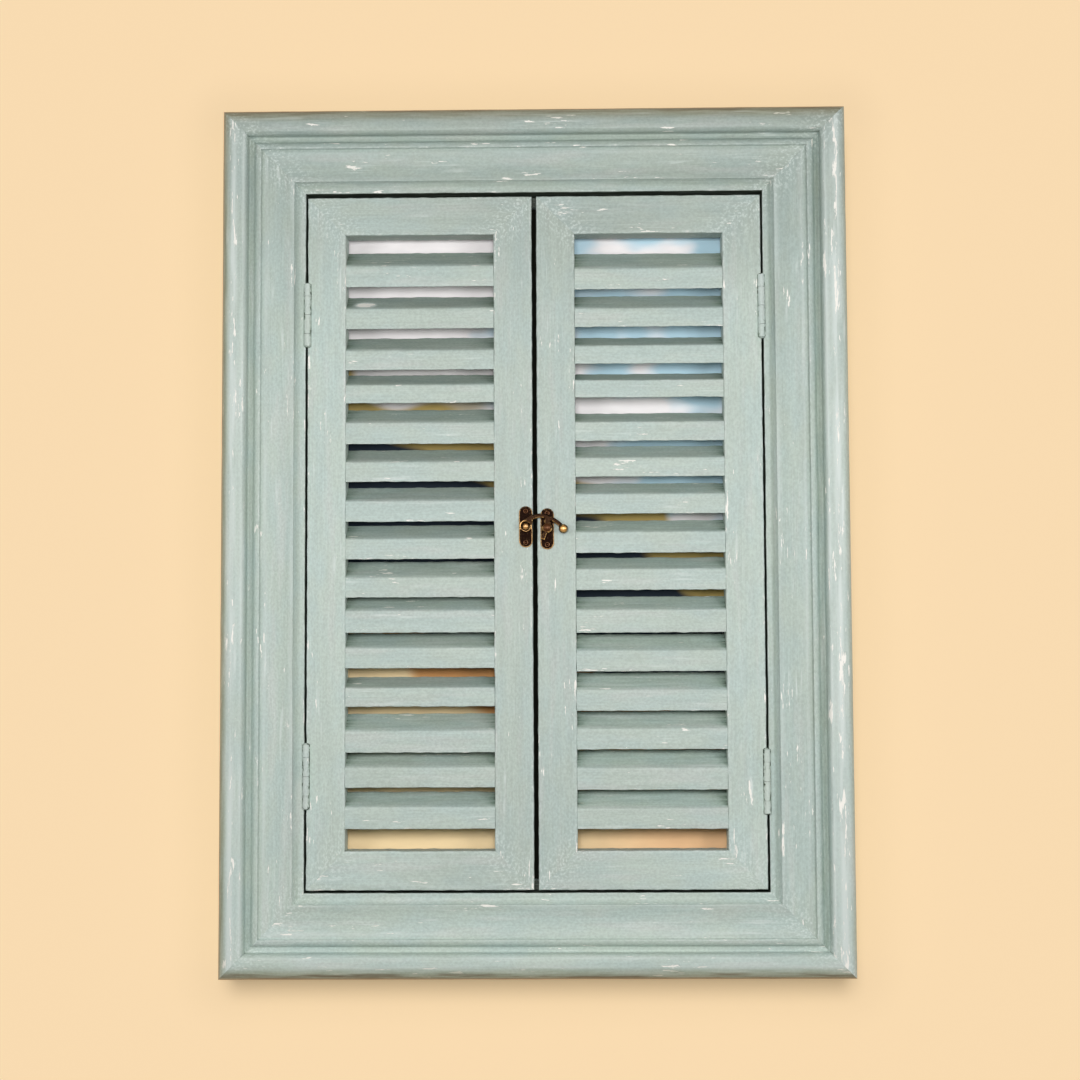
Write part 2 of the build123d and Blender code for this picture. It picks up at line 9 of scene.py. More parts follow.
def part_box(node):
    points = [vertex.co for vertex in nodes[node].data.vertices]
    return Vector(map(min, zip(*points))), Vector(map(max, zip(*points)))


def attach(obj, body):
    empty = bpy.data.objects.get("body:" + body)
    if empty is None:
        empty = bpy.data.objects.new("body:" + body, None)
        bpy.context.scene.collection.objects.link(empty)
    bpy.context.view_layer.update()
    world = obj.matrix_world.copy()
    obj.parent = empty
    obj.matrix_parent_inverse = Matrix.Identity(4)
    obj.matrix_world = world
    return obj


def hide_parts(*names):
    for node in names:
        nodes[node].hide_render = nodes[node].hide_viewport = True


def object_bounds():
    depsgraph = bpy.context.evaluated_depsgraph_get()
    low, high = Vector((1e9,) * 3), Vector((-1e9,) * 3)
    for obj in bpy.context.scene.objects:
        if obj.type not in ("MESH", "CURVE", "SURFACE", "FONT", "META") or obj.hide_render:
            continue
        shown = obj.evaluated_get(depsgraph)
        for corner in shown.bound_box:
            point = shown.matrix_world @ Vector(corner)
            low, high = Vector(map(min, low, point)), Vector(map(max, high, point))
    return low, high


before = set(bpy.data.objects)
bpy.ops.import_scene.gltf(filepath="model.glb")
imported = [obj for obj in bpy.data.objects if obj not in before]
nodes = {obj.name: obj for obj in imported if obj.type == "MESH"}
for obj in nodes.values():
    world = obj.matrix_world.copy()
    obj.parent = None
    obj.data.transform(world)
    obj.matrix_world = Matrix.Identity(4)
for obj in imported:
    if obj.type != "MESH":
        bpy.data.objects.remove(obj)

cad_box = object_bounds()


# Moulded frame: four lengths of one moulding, planed with a bead, a hollow and a lip, mitred and glued,
# then brushed with grey-green paint over a cream ground and rubbed back on the crown and the arrises.
# Painted shade darkens its grooves, its gaps, its outer round and its top; a painted highlight lightens the
# crown.
FRONT = Vector((0, -1, 0))
RIGHT = Vector((1, 0, 0))
UP = Vector((0, 0, 1))
bead_w = 0.0164
bead_dome = 0.0005
bead_round_r = 0.0056
bead_return_w = 0.0022
bead_foot_d = 0.0350
quirk_w = 0.0038
quirk_d = 0.0334
fillet_w = 0.0046
fillet_d = 0.0360
fillet_slope = 0.0006
step_w = 0.0024
hollow_d = 0.0344
hollow_sag = 0.0017
cove_w = 0.0041
cove_sag = 0.0008
lip_w = 0.0029
stop_w = 0.0060
rebate_w = 0.0105
rebate_d = 0.0055
arris_r = 0.0005
outline_step = 0.0016
paint_spacing = 0.0006
paint_fill = 0.0007
frame_station = 0.0026
grain_wobble = 0.00010
wear_reach = 0.0009
mitre_groove = 0.00003
corner_reach = 0.0035
flat_turn = pi / 14
ease_share = 0.4
ease_steps = (0, 1 / 3, 2 / 3, 1)
end_rows = np.array((0.0012, 0.0006, 0.0002, 0))
end_clear = 0.0005
swell_l = 0.016
swell_w = 0.007
edge_swell_l = 0.006
edge_swell_w = 0.004
edge_swell_gain = 2.6
swell_seed_step = 3.7
edge_seed_step = 5.1
grain_seed_step = 1.37
mark_core_share = 0.5
mark_rub = 3


def arc_through(start, middle, end, count):
    """Points of the arc from start to end through middle, without its end."""
    (ax, ay), (bx, by), (cx, cy) = start, middle, end
    d = 2 * (ax * (by - cy) + bx * (cy - ay) + cx * (ay - by))
    a2, b2, c2 = ax * ax + ay * ay, bx * bx + by * by, cx * cx + cy * cy
    ox = (a2 * (by - cy) + b2 * (cy - ay) + c2 * (ay - by)) / d
    oy = (a2 * (cx - bx) + b2 * (ax - cx) + c2 * (bx - ax)) / d
    r = hypot(ax - ox, ay - oy)
    turn_0 = atan2(ay - oy, ax - ox)
    turn_m = (atan2(by - oy, bx - ox) - turn_0 + pi) % (2 * pi) - pi
    turn_1 = (atan2(cy - oy, cx - ox) - turn_0) % (2 * pi)
    if turn_m < 0:
        turn_1 -= 2 * pi
    steps = [turn_0 + turn_1 * i / count for i in range(count)]
    return [(ox + r * cos(t), oy + r * sin(t)) for t in steps]


def quarter_round(start, end, low, high, count):
    """Points of a convex quarter round between its low, steep end and its high, flat end."""
    bulge = sqrt(1 / 2)
    middle = (high[0] + (low[0] - high[0]) * bulge, low[1] + (high[1] - low[1]) * bulge)
    return arc_through(start, middle, end, count)


def paint_filled(points, spacing, fill):
    """The same open run of points, evenly spaced, its corners but for the two ends filled with paint."""
    run = np.array(points)
    lengths = np.concatenate(([0], np.cumsum(np.linalg.norm(np.diff(run, axis=0), axis=1))))
    even = np.linspace(0, lengths[-1], int(lengths[-1] / spacing) + 1)
    sharp = np.stack([np.interp(even, lengths, run[:, axis]) for axis in (0, 1)], 1)
    near = np.exp(-(((even[:, None] - even[None, :]) / fill) ** 2))
    soft = near @ sharp / near.sum(1)[:, None]
    loose = 1 - np.exp(-((np.minimum(even, even[-1] - even) / fill) ** 2))
    return [tuple(p) for p in sharp + loose[:, None] * (soft - sharp)]


def eased_outline(corners, ease, longest):
    """A closed outline with rounded corners and short runs, and at each point how far it is an arris."""
    points, bends = [], []
    count = len(corners)
    for i in range(count):
        before = Vector(corners[i - 1])
        here = Vector(corners[i])
        after = Vector(corners[(i + 1) % count])
        come, go = here - before, after - here
        turn = atan2(come.cross(go), come.dot(go))
        if abs(turn) < flat_turn:
            points.append(here)
            bends.append(0.0)
            continue
        reach = min(ease, ease_share * come.length, ease_share * go.length)
        first = here - come.normalized() * reach
        last = here + go.normalized() * reach
        for t in ease_steps:
            points.append(first * (1 - t) ** 2 + here * 2 * t * (1 - t) + last * t**2)
            bends.append(turn / len(ease_steps))
    area = sum(points[i - 1].cross(points[i]) for i in range(len(points)))
    places, at_corner = [], []
    for i, point in enumerate(points):
        after = points[(i + 1) % len(points)]
        pieces = max(1, int((after - point).length / longest + 1))
        for k in range(pieces):
            places.append(point.lerp(after, k / pieces))
            at_corner.append(bends[i] if k == 0 else 0.0)
    outline = np.array([tuple(p) for p in places])
    runs = np.linalg.norm(np.roll(outline, -1, 0) - outline, axis=1)
    along = np.concatenate(([0], np.cumsum(runs)[:-1]))
    gap = np.abs(along[:, None] - along[None, :])
    gap = np.minimum(gap, runs.sum() - gap)
    arris = (np.exp(-((gap / wear_reach) ** 2)) * np.array(at_corner)[None, :]).sum(1)
    return outline, along, np.clip(arris * np.sign(area), -1, 1)


def ease(value, low, high):
    """Runs smoothly from 0 at low to 1 at high."""
    share = np.clip((value - low) / (high - low), 0, 1)
    return share * share * (3 - 2 * share)


def band(value, rise, full, fade, gone):
    """Rises smoothly from 0 to 1 and falls back to 0."""
    return ease(value, rise, full) * (1 - ease(value, fade, gone))


def hump(value, middle, width):
    """A soft hump of height 1 about the middle."""
    return np.exp(-(((value - middle) / width) ** 2))


def set_out(name, data):
    """A new object in the scene."""
    made = bpy.data.objects.new(name, data)
    bpy.context.scene.collection.objects.link(made)
    return made


def face_outwards(mesh):
    """Turns all the faces of a closed mesh outwards."""
    faces = bmesh.new()
    faces.from_mesh(mesh)
    bmesh.ops.recalc_face_normals(faces, faces=faces.faces)
    faces.to_mesh(mesh)
    faces.free()


def lay(mesh, layer, *parts):
    """Lays three values on each point of a mesh, for its material to read."""
    values = np.stack(np.broadcast_arrays(*parts), -1)
    mesh.attributes.new(layer, "FLOAT_VECTOR", "POINT").data.foreach_set("vector", values.ravel())


def planed_length(name, shape, coat, tone_and_shade, outer, inward, length, mitred, station, seed, wobble, marks=()):
    """A wooden length swept along one edge: the outline's x runs inwards and its y forwards.

    The coat gives, at each point of the outline, the wear at its arrises, its soiling and painted shade, its
    wear and painted highlight on the crown, its bare wood, and how much the painted shade deepens towards
    the ends. The shading argument is one value for each point, or a function of x and z, and paints light
    and
    shade. Marks are spots of wear: along, around, half length, half width."""
    outline, around, arris = shape
    wear, dirt_and_shade, rub_and_highlight, bare, corner = coat
    arris = arris * wear
    along = inward.cross(FRONT)
    half = length / 2
    inner = np.arange(0, half, station)
    ends = half - end_rows
    side = np.concatenate((inner[inner < ends[0] - end_clear], ends))
    stations = np.concatenate((-side[:0:-1], side)) / half
    tangent = np.roll(outline, -1, 0) - np.roll(outline, 1, 0)
    outwards = np.stack((tangent[:, 1], -tangent[:, 0]), 1)
    outwards /= np.linalg.norm(outwards, axis=1)[:, None]
    before = np.roll(outline, 1, 0)
    if (before[:, 0] * outline[:, 1] - outline[:, 0] * before[:, 1]).sum() < 0:
        outwards = -outwards
    reach = half - outline[:, 0] * mitred
    place = stations[:, None] * reach[None, :]
    end = (1 - np.abs(stations))[:, None] * reach[None, :]
    swell = np.zeros_like(place)
    for i in range(len(stations)):
        for j in range(len(outline)):
            spot = Vector((place[i, j] / swell_l, around[j] / swell_w, seed * swell_seed_step))
            edge_spot = Vector((place[i, j] / edge_swell_l, around[j] / edge_swell_w, seed * edge_seed_step))
            swell[i, j] = noise.noise(spot) + edge_swell_gain * max(arris[j], 0) * noise.noise(edge_spot)
    swell = swell * wobble - mitre_groove * np.exp(-end / wear_reach) * mitred
    section = outline[None, :, :] + swell[:, :, None] * outwards[None, :, :]
    axes = np.array((inward, FRONT, along))
    verts = np.array(outer) + section[:, :, :1] * axes[0] + section[:, :, 1:] * axes[1]
    verts = verts + place[:, :, None] * axes[2]
    rows, cols = place.shape
    grid = np.arange(rows * cols).reshape(rows, cols)
    turned = np.roll(grid, -1, 1)
    quads = np.stack((grid[:-1], turned[:-1], turned[1:], grid[1:]), 2).reshape(-1, 4)
    mesh = bpy.data.meshes.new(name)
    caps = [grid[0, ::-1].tolist(), grid[-1].tolist()]
    mesh.from_pydata(verts.reshape(-1, 3).tolist(), [], quads.tolist() + caps)
    mesh.validate()
    face_outwards(mesh)
    lay(mesh, "grain", place, around, seed * grain_seed_step)
    # Painted shade deepens towards the ends; the coat's soiling carries painted shade along with dirt.
    dirt_and_shade = dirt_and_shade[None, :] + corner[None, :] * np.exp(-end / corner_reach)
    rub_and_highlight = 0 * place + rub_and_highlight
    for mark_along, mark_around, mark_l, mark_w in marks:
        away = np.hypot((place - mark_along) / mark_l, (around[None, :] - mark_around) / mark_w)
        spot = 1 - ease(away, mark_core_share, 1.0)
        rub_and_highlight = rub_and_highlight + mark_rub * spot
        dirt_and_shade = dirt_and_shade * (1 - spot)
    lay(mesh, "wear_end_dirt_and_shade", arris, end + 1 - mitred, dirt_and_shade)
    # The tone paints light and shade over the member as well as its paint's tone.
    shade = tone_and_shade(verts[:, :, 0], verts[:, :, 2]) if callable(tone_and_shade) else 0 * place + tone_and_shade
    lay(mesh, "rub_highlight_bare_and_shade", rub_and_highlight, bare, shade)
    mesh.shade_smooth()
    for cap in mesh.polygons[-2:]:
        cap.use_smooth = False
    return set_out(name, mesh)


def outer_edge(node, inward):
    """Middle of a member's outer edge on the plane of its back, and its length."""
    low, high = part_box(node)
    middle, size = (low + high) / 2, high - low
    reach = abs(size.dot(inward)) / 2
    outer = middle - inward * reach
    outer.y = 0
    return outer, abs(size.dot(inward.cross(FRONT)))


def wire(tree, kind, *inputs, output=0, **settings):
    """Adds a node with its settings, feeds its inputs in order, and gives one of its outputs."""
    made = tree.nodes.new(kind)
    for key, value in settings.items():
        setattr(made, key, value)
    for socket, value in zip(made.inputs, inputs):
        if isinstance(value, bpy.types.NodeSocket):
            tree.links.new(value, socket)
        elif value is not None:
            socket.default_value = value
    return made.outputs[output]


def times(tree, a, b):
    """One value times another."""
    return wire(tree, "ShaderNodeMath", a, b, operation="MULTIPLY")


def plus(tree, a, b):
    """One value and another."""
    return wire(tree, "ShaderNodeMath", a, b, operation="ADD")


def lesser(tree, a, b):
    """The lesser of two values."""
    return wire(tree, "ShaderNodeMath", a, b, operation="MINIMUM")


def greater(tree, a, b):
    """The greater of two values."""
    return wire(tree, "ShaderNodeMath", a, b, operation="MAXIMUM")


def scaled(tree, colour, share):
    """A colour made lighter or darker by a share."""
    return wire(tree, "ShaderNodeVectorMath", colour, None, None, share, operation="SCALE")


def ramp(tree, value, low, high, to_low=0.0, to_high=1.0):
    """Runs smoothly from to_low, where the value is low, to to_high, where it is high."""
    limits = (low, high, to_low, to_high)
    return wire(tree, "ShaderNodeMapRange", value, *limits, interpolation_type="SMOOTHSTEP")


def split(tree, vector):
    """The three parts of a vector, by name."""
    made = tree.nodes.new("ShaderNodeSeparateXYZ")
    tree.links.new(vector, made.inputs[0])
    return made.outputs


def feed(tree, made, inputs):
    """Links or sets the named inputs of a node."""
    for name, value in inputs.items():
        if isinstance(value, bpy.types.NodeSocket):
            tree.links.new(value, made.inputs[name])
        else:
            made.inputs[name].default_value = value


def new_finish(name):
    """A new material, with its node tree and its shader."""
    made = bpy.data.materials.new(name)
    made.use_nodes = True
    return made, made.node_tree, made.node_tree.nodes["Principled BSDF"]


def bumped(tree, height, depth, strength=1.0):
    """The normal of a surface that is roughened by a height."""
    bump = tree.nodes.new("ShaderNodeBump")
    feed(tree, bump, {"Strength": strength, "Distance": depth, "Height": height})
    return bump.outputs["Normal"]


def blend(tree, share, first, second):
    """Mixes two colours, each a socket or a plain colour."""
    made = tree.nodes.new("ShaderNodeMix")
    made.data_type = "RGBA"
    for socket, value in zip((made.inputs[0], made.inputs[6], made.inputs[7]), (share, first, second)):
        if isinstance(value, bpy.types.NodeSocket):
            tree.links.new(value, socket)
        else:
            socket.default_value = value
    return made.outputs[2]


def speckle(tree, vector, scale, detail=2.0, rough=0.5):
    """Noise over a vector that is first stretched by scale."""
    stretched = wire(tree, "ShaderNodeVectorMath", vector, scale, operation="MULTIPLY")
    return wire(tree, "ShaderNodeTexNoise", stretched, None, 1.0, detail, rough)


def shader_group(name, inputs, outputs):
    """An empty node group with its named sockets, its input node and its output node."""
    tree = bpy.data.node_groups.new(name, "ShaderNodeTree")
    for socket, kind in inputs:
        tree.interface.new_socket(socket, in_out="INPUT", socket_type=kind)
    for socket, kind in outputs:
        tree.interface.new_socket(socket, in_out="OUTPUT", socket_type=kind)
    return tree, tree.nodes.new("NodeGroupInput").outputs, tree.nodes.new("NodeGroupOutput").inputs


paint, given, result = shader_group(
    "brushed paint",
    (
        ("Grain", "NodeSocketVector"),
        ("Arris", "NodeSocketFloat"),
        ("End", "NodeSocketFloat"),
        ("Shade and dirt", "NodeSocketFloat"),
        ("Rub and highlight", "NodeSocketFloat"),
        ("Tone and shade", "NodeSocketFloat"),
        ("Body", "NodeSocketColor"),
        ("Cool", "NodeSocketColor"),
    ),
    (("Color", "NodeSocketColor"), ("Roughness", "NodeSocketFloat"), ("Height", "NodeSocketFloat")),
)
cream = (0.90, 0.88, 0.82, 1)
pale_and_highlight = (0.620, 0.688, 0.660, 1)
dust = (0.53, 0.577, 0.545, 1)
# Painted shade and real grime share the dark grime colour; the film tint turns dirt and painted shade
# greener.
grime_and_shade = (0.040, 0.056, 0.042, 1)
shade_and_dirt_tint = (0.10, 0.22, 0.10)
wood_dark = (0.42, 0.29, 0.17, 1)
wood_light = (0.58, 0.43, 0.27, 1)
paint_bump = 0.00025
paint_bump_strength = 0.6
mitre_wear_reach = 0.026
grain, arris, end, rub_and_highlight = given["Grain"], given["Arris"], given["End"], given["Rub and highlight"]
# Each noise is stretched along and across the grain, by a count in each metre, and between pieces.
brush = speckle(paint, grain, (30, 950, 1), 3.0, 0.62)
broad = speckle(paint, grain, (14, 210, 1), 2.0, 0.5)
patch = speckle(paint, grain, (24, 52, 1), 2.5, 0.55)
dusty = speckle(paint, grain, (15, 110, 5), 2.5, 0.55)
fleck = speckle(paint, grain, (80, 540, 1), 3.0, 0.62)
scratch = speckle(paint, grain, (48, 1700, 2), 1.5, 0.5)
crowd = speckle(paint, grain, (28, 95, 3), 2.0, 0.6)
scrape = speckle(paint, grain, (24, 330, 4), 1.5, 0.5)
streak = speckle(paint, grain, (30, 430, 2), 2.0, 0.6)
stipple = speckle(paint, grain, (520, 740, 1), 2.0, 0.6)
nibble = speckle(paint, grain, (170, 420, 4), 3.0, 0.65)
near_end = ramp(paint, end, mitre_wear_reach, 0.0)
body = blend(paint, ramp(paint, patch, 0.36, 0.66), given["Body"], given["Cool"])
body = blend(paint, ramp(paint, dusty, 0.50, 0.72, 0.0, 0.55), body, dust)
tone_and_shade = plus(paint, ramp(paint, brush, 0.25, 0.75, 0.93, 1.04), ramp(paint, broad, 0.3, 0.7, -0.025, 0.03))
# The tone input also paints light and shade: darker where less light falls, lighter where more does.
tone_and_shade = times(paint, plus(paint, tone_and_shade, ramp(paint, stipple, 0.3, 0.7, -0.080, 0.080)), given["Tone and shade"])
brushed = scaled(paint, body, tone_and_shade)
thin = times(paint, ramp(paint, scratch, 0.56, 0.70), ramp(paint, crowd, 0.42, 0.64, 0.03, 0.28))
thin = plus(paint, thin, times(paint, near_end, ramp(paint, stipple, 0.50, 0.66, 0.0, 0.55)))
# The rub input thins the coat to the pale colour: rubbed paint, and on the frame's bead a painted highlight.
thin = plus(paint, thin, times(paint, rub_and_highlight, ramp(paint, broad, 0.35, 0.62, 0.25, 0.75)))
nibbled = times(paint, ramp(paint, arris, 0.2, 0.9), ramp(paint, nibble, 0.42, 0.62, 0.0, 0.34))
thin = plus(paint, thin, nibbled)
scraped = times(paint, ramp(paint, scrape, 0.62, 0.74), ramp(paint, crowd, 0.44, 0.62, 0.05, 0.55))
thin = plus(paint, thin, scraped)
rubbed = blend(paint, lesser(paint, thin, 1.0), brushed, pale_and_highlight)
eager = plus(paint, times(paint, rub_and_highlight, 0.112), times(paint, ramp(paint, arris, 0.2, 0.8), 0.025))
eager = plus(paint, eager, times(paint, near_end, 0.045))
chance = plus(paint, times(paint, ramp(paint, crowd, 0.48, 0.70), 0.150), eager)
chip = ramp(paint, plus(paint, fleck, chance), 0.745, 0.785)
bitten = times(paint, ramp(paint, arris, 0.45, 0.9), ramp(paint, nibble, 0.60, 0.68))
bitten = times(paint, bitten, ramp(paint, crowd, 0.48, 0.62))
chip = greater(paint, chip, bitten)
chipped = blend(paint, chip, rubbed, cream)
# Concave corners darken with painted shade and some grime. The dirt input carries painted shade as well as
# dirt, and where it is strong the coat takes the greener colour of painted shade.
crevice_shade_and_grime = times(paint, ramp(paint, arris, -0.05, -0.8), ramp(paint, nibble, 0.3, 0.7, 0.15, 0.35))
shade_and_dirt = plus(paint, crevice_shade_and_grime, times(paint, given["Shade and dirt"], ramp(paint, streak, 0.30, 0.70, 0.64, 1.36)))
shade_and_dirt_film = wire(paint, "ShaderNodeVectorMath", chipped, shade_and_dirt_tint, operation="MULTIPLY")
shade_and_dirt_filmed = blend(paint, lesser(paint, shade_and_dirt, 0.5), chipped, shade_and_dirt_film)
coarse = plus(paint, brush, times(paint, chip, 0.3))
paint.links.new(blend(paint, ramp(paint, shade_and_dirt, 0.45, 1.0), shade_and_dirt_filmed, grime_and_shade), result["Color"])
paint.links.new(ramp(paint, coarse, 0.2, 1.0, 0.48, 0.72), result["Roughness"])
height = plus(paint, times(paint, brush, 0.45), times(paint, stipple, 0.55))
height = plus(paint, height, times(paint, chip, -0.7))
paint.links.new(height, result["Height"])


def paint_material(name, body_colour, cool_colour):
    """Brushed paint on wood, with the wood bare where the coat says so."""
    made, tree, shader = new_finish(name)
    grain_at = wire(tree, "ShaderNodeAttribute", attribute_name="grain", output=1)
    wear_end_dirt_and_shade = split(tree, wire(tree, "ShaderNodeAttribute", attribute_name="wear_end_dirt_and_shade", output=1))
    rub_highlight_bare_and_shade = split(tree, wire(tree, "ShaderNodeAttribute", attribute_name="rub_highlight_bare_and_shade", output=1))
    finish = tree.nodes.new("ShaderNodeGroup")
    finish.node_tree = paint
    feed(tree, finish, {"Grain": grain_at, "Arris": wear_end_dirt_and_shade["X"], "End": wear_end_dirt_and_shade["Y"], "Shade and dirt": wear_end_dirt_and_shade["Z"]})
    feed(tree, finish, {"Rub and highlight": rub_highlight_bare_and_shade["X"], "Tone and shade": rub_highlight_bare_and_shade["Z"], "Body": body_colour, "Cool": cool_colour})
    fibre = ramp(tree, speckle(tree, grain_at, (14, 500, 1), 3.0, 0.6), 0.3, 0.7)
    wood = blend(tree, fibre, wood_dark, wood_light)
    colour = blend(tree, rub_highlight_bare_and_shade["Y"], finish.outputs["Color"], wood)
    normal = bumped(tree, finish.outputs["Height"], paint_bump, paint_bump_strength)
    feed(tree, shader, {"Base Color": colour, "Roughness": finish.outputs["Roughness"], "Normal": normal})
    return made


low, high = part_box("frame_top_rail")
bead_d = -low.y
lip_d = -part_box("left_shutter_top_rail")[0].y
stop_u = high.z - low.z
moulding_w = stop_u - stop_w
stop_clear = 0.0005
stop_d = -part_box("left_shutter_top_rail")[1].y - stop_clear
rebate_u = stop_u - rebate_w
crown_d = bead_d - bead_dome
side_d = crown_d - bead_round_r
return_u = bead_w - bead_return_w
fillet_u = bead_w + quirk_w
step_u = fillet_u + fillet_w
hollow_u = step_u + step_w
lip_u = moulding_w - lip_w
cove_u = lip_u - cove_w
cove_middle = ((cove_u + lip_u) / 2 - cove_sag, (hollow_d + lip_d) / 2 - cove_sag)
hollow_middle = ((hollow_u + cove_u) / 2, hollow_d - hollow_sag)
round_points = 9
dome_points = 8
hollow_points = 12
cove_points = 6
section = [(0, 0)]
side, shoulder, brow, foot = (0, side_d), (bead_round_r, crown_d), (return_u, crown_d), (bead_w, bead_foot_d)
section += quarter_round(side, shoulder, side, shoulder, round_points)
section += arc_through(shoulder, ((bead_round_r + return_u) / 2, bead_d), brow, dome_points)
crest, bottom, lip = (step_u, fillet_d), (fillet_u, quirk_d), (lip_u, lip_d)
quirk = quarter_round(brow, foot, foot, brow, round_points) + [foot, (bead_w + fillet_slope, quirk_d)]
quirk += quarter_round(bottom, crest, bottom, crest, dome_points) + [crest]
hollow = [crest, (step_u + fillet_slope, hollow_d)]
hollow += arc_through((hollow_u, hollow_d), hollow_middle, (cove_u, hollow_d), hollow_points)
hollow += arc_through((cove_u, hollow_d), cove_middle, lip, cove_points) + [lip]
section += paint_filled(quirk, paint_spacing, paint_fill)
section += paint_filled(hollow, paint_spacing, paint_fill)[1:]
section += [(moulding_w, lip_d), (moulding_w, stop_d), (stop_u, stop_d)]
section += [(stop_u, rebate_d), (rebate_u, rebate_d), (rebate_u, 0)]
frame_shape = eased_outline(section, arris_r, outline_step)
u, d = frame_shape[0].T
face_clear = 0.0005
edge_clear = 0.0002
back_clear = 0.0003
# Painted shade, with some grime, darkens the quirk, the step and the cove where their shade falls; each
# member's groove value scales it.
quirk_shade_and_grime = 0.16
step_shade_and_grime = 0.08
cove_shade_and_grime = 0.12
gap_shade_strength = 1.1
side_grime = 0.22
side_fade = 0.008
quirk_span = (bead_w - 0.0004, bead_w + 0.0014, fillet_u, fillet_u + 0.0022)
step_span = (step_u - 0.0002, step_u + 0.0006, hollow_u - 0.0006, hollow_u + 0.0010)
cove_span = (cove_u + 0.0010, cove_u + 0.0024, lip_u - 0.0010, lip_u)
gap_span = (0.0006 - lip_d, 0.0016 - lip_d)
front = d > lip_d - face_clear
quirk_shade_and_dirt = quirk_shade_and_grime * band(u, *quirk_span) * front
step_shade_and_dirt = step_shade_and_grime * band(u, *step_span) * front
cove_shade_and_dirt = cove_shade_and_grime * band(u, *cove_span) * front
# Painted shade: the lip's inner face and the stop, down in the gap, are darkened nearly to black.
gap_shade = gap_shade_strength * (u > moulding_w - edge_clear) * ease(-d, *gap_span) * (d > stop_d - edge_clear)
frame_bare = np.maximum(d < back_clear, (u > rebate_u - edge_clear) & (d < rebate_d + edge_clear))
on_side = (u < bead_w) * ease(side_d - d, 0.0, side_fade)
unworn_reach = 0.002
quirk_reach = 0.001
in_cove = (u > cove_u - unworn_reach) & (u < cove_u + unworn_reach) & front
in_quirk = (u > bead_w - quirk_reach) & (u < hollow_u + quirk_reach) & front & (frame_shape[2] < 0)
frame_wear = 1.0 - in_cove - in_quirk
# Rubbed paint on the bead's crown, which is also a painted highlight on its shoulder and a painted
# lightening of its shaded return; each member's rubbing value sets its strength.
shoulder_rub_highlight_u, shoulder_rub_highlight_w = 0.0078, 0.0024
brow_rub_highlight_u, brow_rub_highlight_w = 0.0143, 0.0013
brow_rub_highlight_share = 0.6
least_rub_highlight = 0.2
hollow_rub_in, hollow_rub_w = 0.0010, 0.0014
cove_rub_out, cove_rub_w = 0.0012, 0.0016
shoulder_rub_and_highlight = hump(u, shoulder_rub_highlight_u, shoulder_rub_highlight_w) + brow_rub_highlight_share * hump(u, brow_rub_highlight_u, brow_rub_highlight_w)
shoulder_rub_and_highlight = shoulder_rub_and_highlight + least_rub_highlight
hollow_rub = hump(u, hollow_u + hollow_rub_in, hollow_rub_w) + hump(u, cove_u - cove_rub_out, cove_rub_w)
rub_highlight_from_d, rub_highlight_full_d = 0.0380, 0.0400
hollow_rub_share = 0.5
hollow_rub_least = 0.3
edge_thin = 0.55
edge_thin_span = (0.0005, 0.0020)
edge_faded = 0.24
edge_shade_gain = 1.7
edge_fade = 0.0025
frame_paint = paint_material("frame paint", (0.443, 0.528, 0.472, 1), (0.426, 0.525, 0.492, 1))
# Each member's way inwards, its rubbing and painted highlight, its painted shade on the outer round and how
# far that reaches, and the painted shade and grime of its grooves.
frame_members = (
    ("frame_top_rail", -UP, 0.15, 0.60, 0.0100, 1.0),
    ("frame_bottom_rail", UP, 0.5, 0.70, 0.0095, 0.0),
    ("frame_left_stile", RIGHT, 1.0, 0.50, 0.0066, 0.8),
    ("frame_right_stile", -RIGHT, 1.3, 0.05, 0.0050, 1.6),
)
# Painted light and shade over the frame: darker to the top and right, lighter below.
frame_middle_tone = 0.975
right_darkening = 0.045
right_reach = 0.16
upper_darkening = 0.145
lower_lightening = 0.06
tone_span = (0.10, 0.25)
top_darkening = 0.10
top_span = (0.262, 0.272)


def frame_light_falloff(x, z):
    """Painted light and shade: the paint is darker to the top and the right and lighter below, as the light
    falls off.
    """
    up = upper_darkening * ease(z, *tone_span) + top_darkening * ease(z, *top_span)
    across = frame_middle_tone - right_darkening * ease(x, 0.0, right_reach)
    return across - up + lower_lightening * ease(-z, *tone_span)


for number, (node, inward, rub_and_highlight_gain, shade, shade_reach, groove_shade_and_grime) in enumerate(frame_members):
    outer, length = outer_edge(node, inward)
    # The rub here is rubbed paint in the hollow, and rubbed paint with a painted highlight on the crown.
    rubbed = hollow_rub_share * min(rub_and_highlight_gain + hollow_rub_least, 1) * hollow_rub * front
    rubbed = rub_and_highlight_gain * shoulder_rub_and_highlight * ease(d, rub_highlight_from_d, rub_highlight_full_d) + rubbed
    # Painted shade on the bead's outer round, strongest on the top and bottom rails, and grime on the flat
    # side behind it.
    side_shade_and_dirt = shade * (1 - ease(u, shade_reach / 4, shade_reach)) * (1 - on_side) + side_grime * on_side
    edge_bare = edge_faded * (1 - ease(u, shade_reach / 3, shade_reach))
    edge_bare = edge_thin * (1 - ease(u, *edge_thin_span)) + edge_bare
    edge_bare = min(edge_shade_gain * shade, 1) * (1 - ease(side_d - d, 0.0, edge_fade)) * edge_bare
    # The coat's dirt here is painted shade in the grooves, in the gap and on the outer round, with some real
    # grime.
    dirt_and_shade = groove_shade_and_grime * (quirk_shade_and_dirt + step_shade_and_dirt + cove_shade_and_dirt) + side_shade_and_dirt * (d > back_clear) + gap_shade
    coat = (frame_wear, dirt_and_shade, rubbed, np.maximum(frame_bare, edge_bare), 0 * u)
    member = planed_length(
        "painted_" + node, frame_shape, coat, frame_light_falloff, outer, inward, length, 1, frame_station,
        number + 1, grain_wobble,
    )
    member.data.materials.append(frame_paint)
    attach(member, "frame")
    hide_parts(node)


same_place = 1e-6
corner_steps = 8


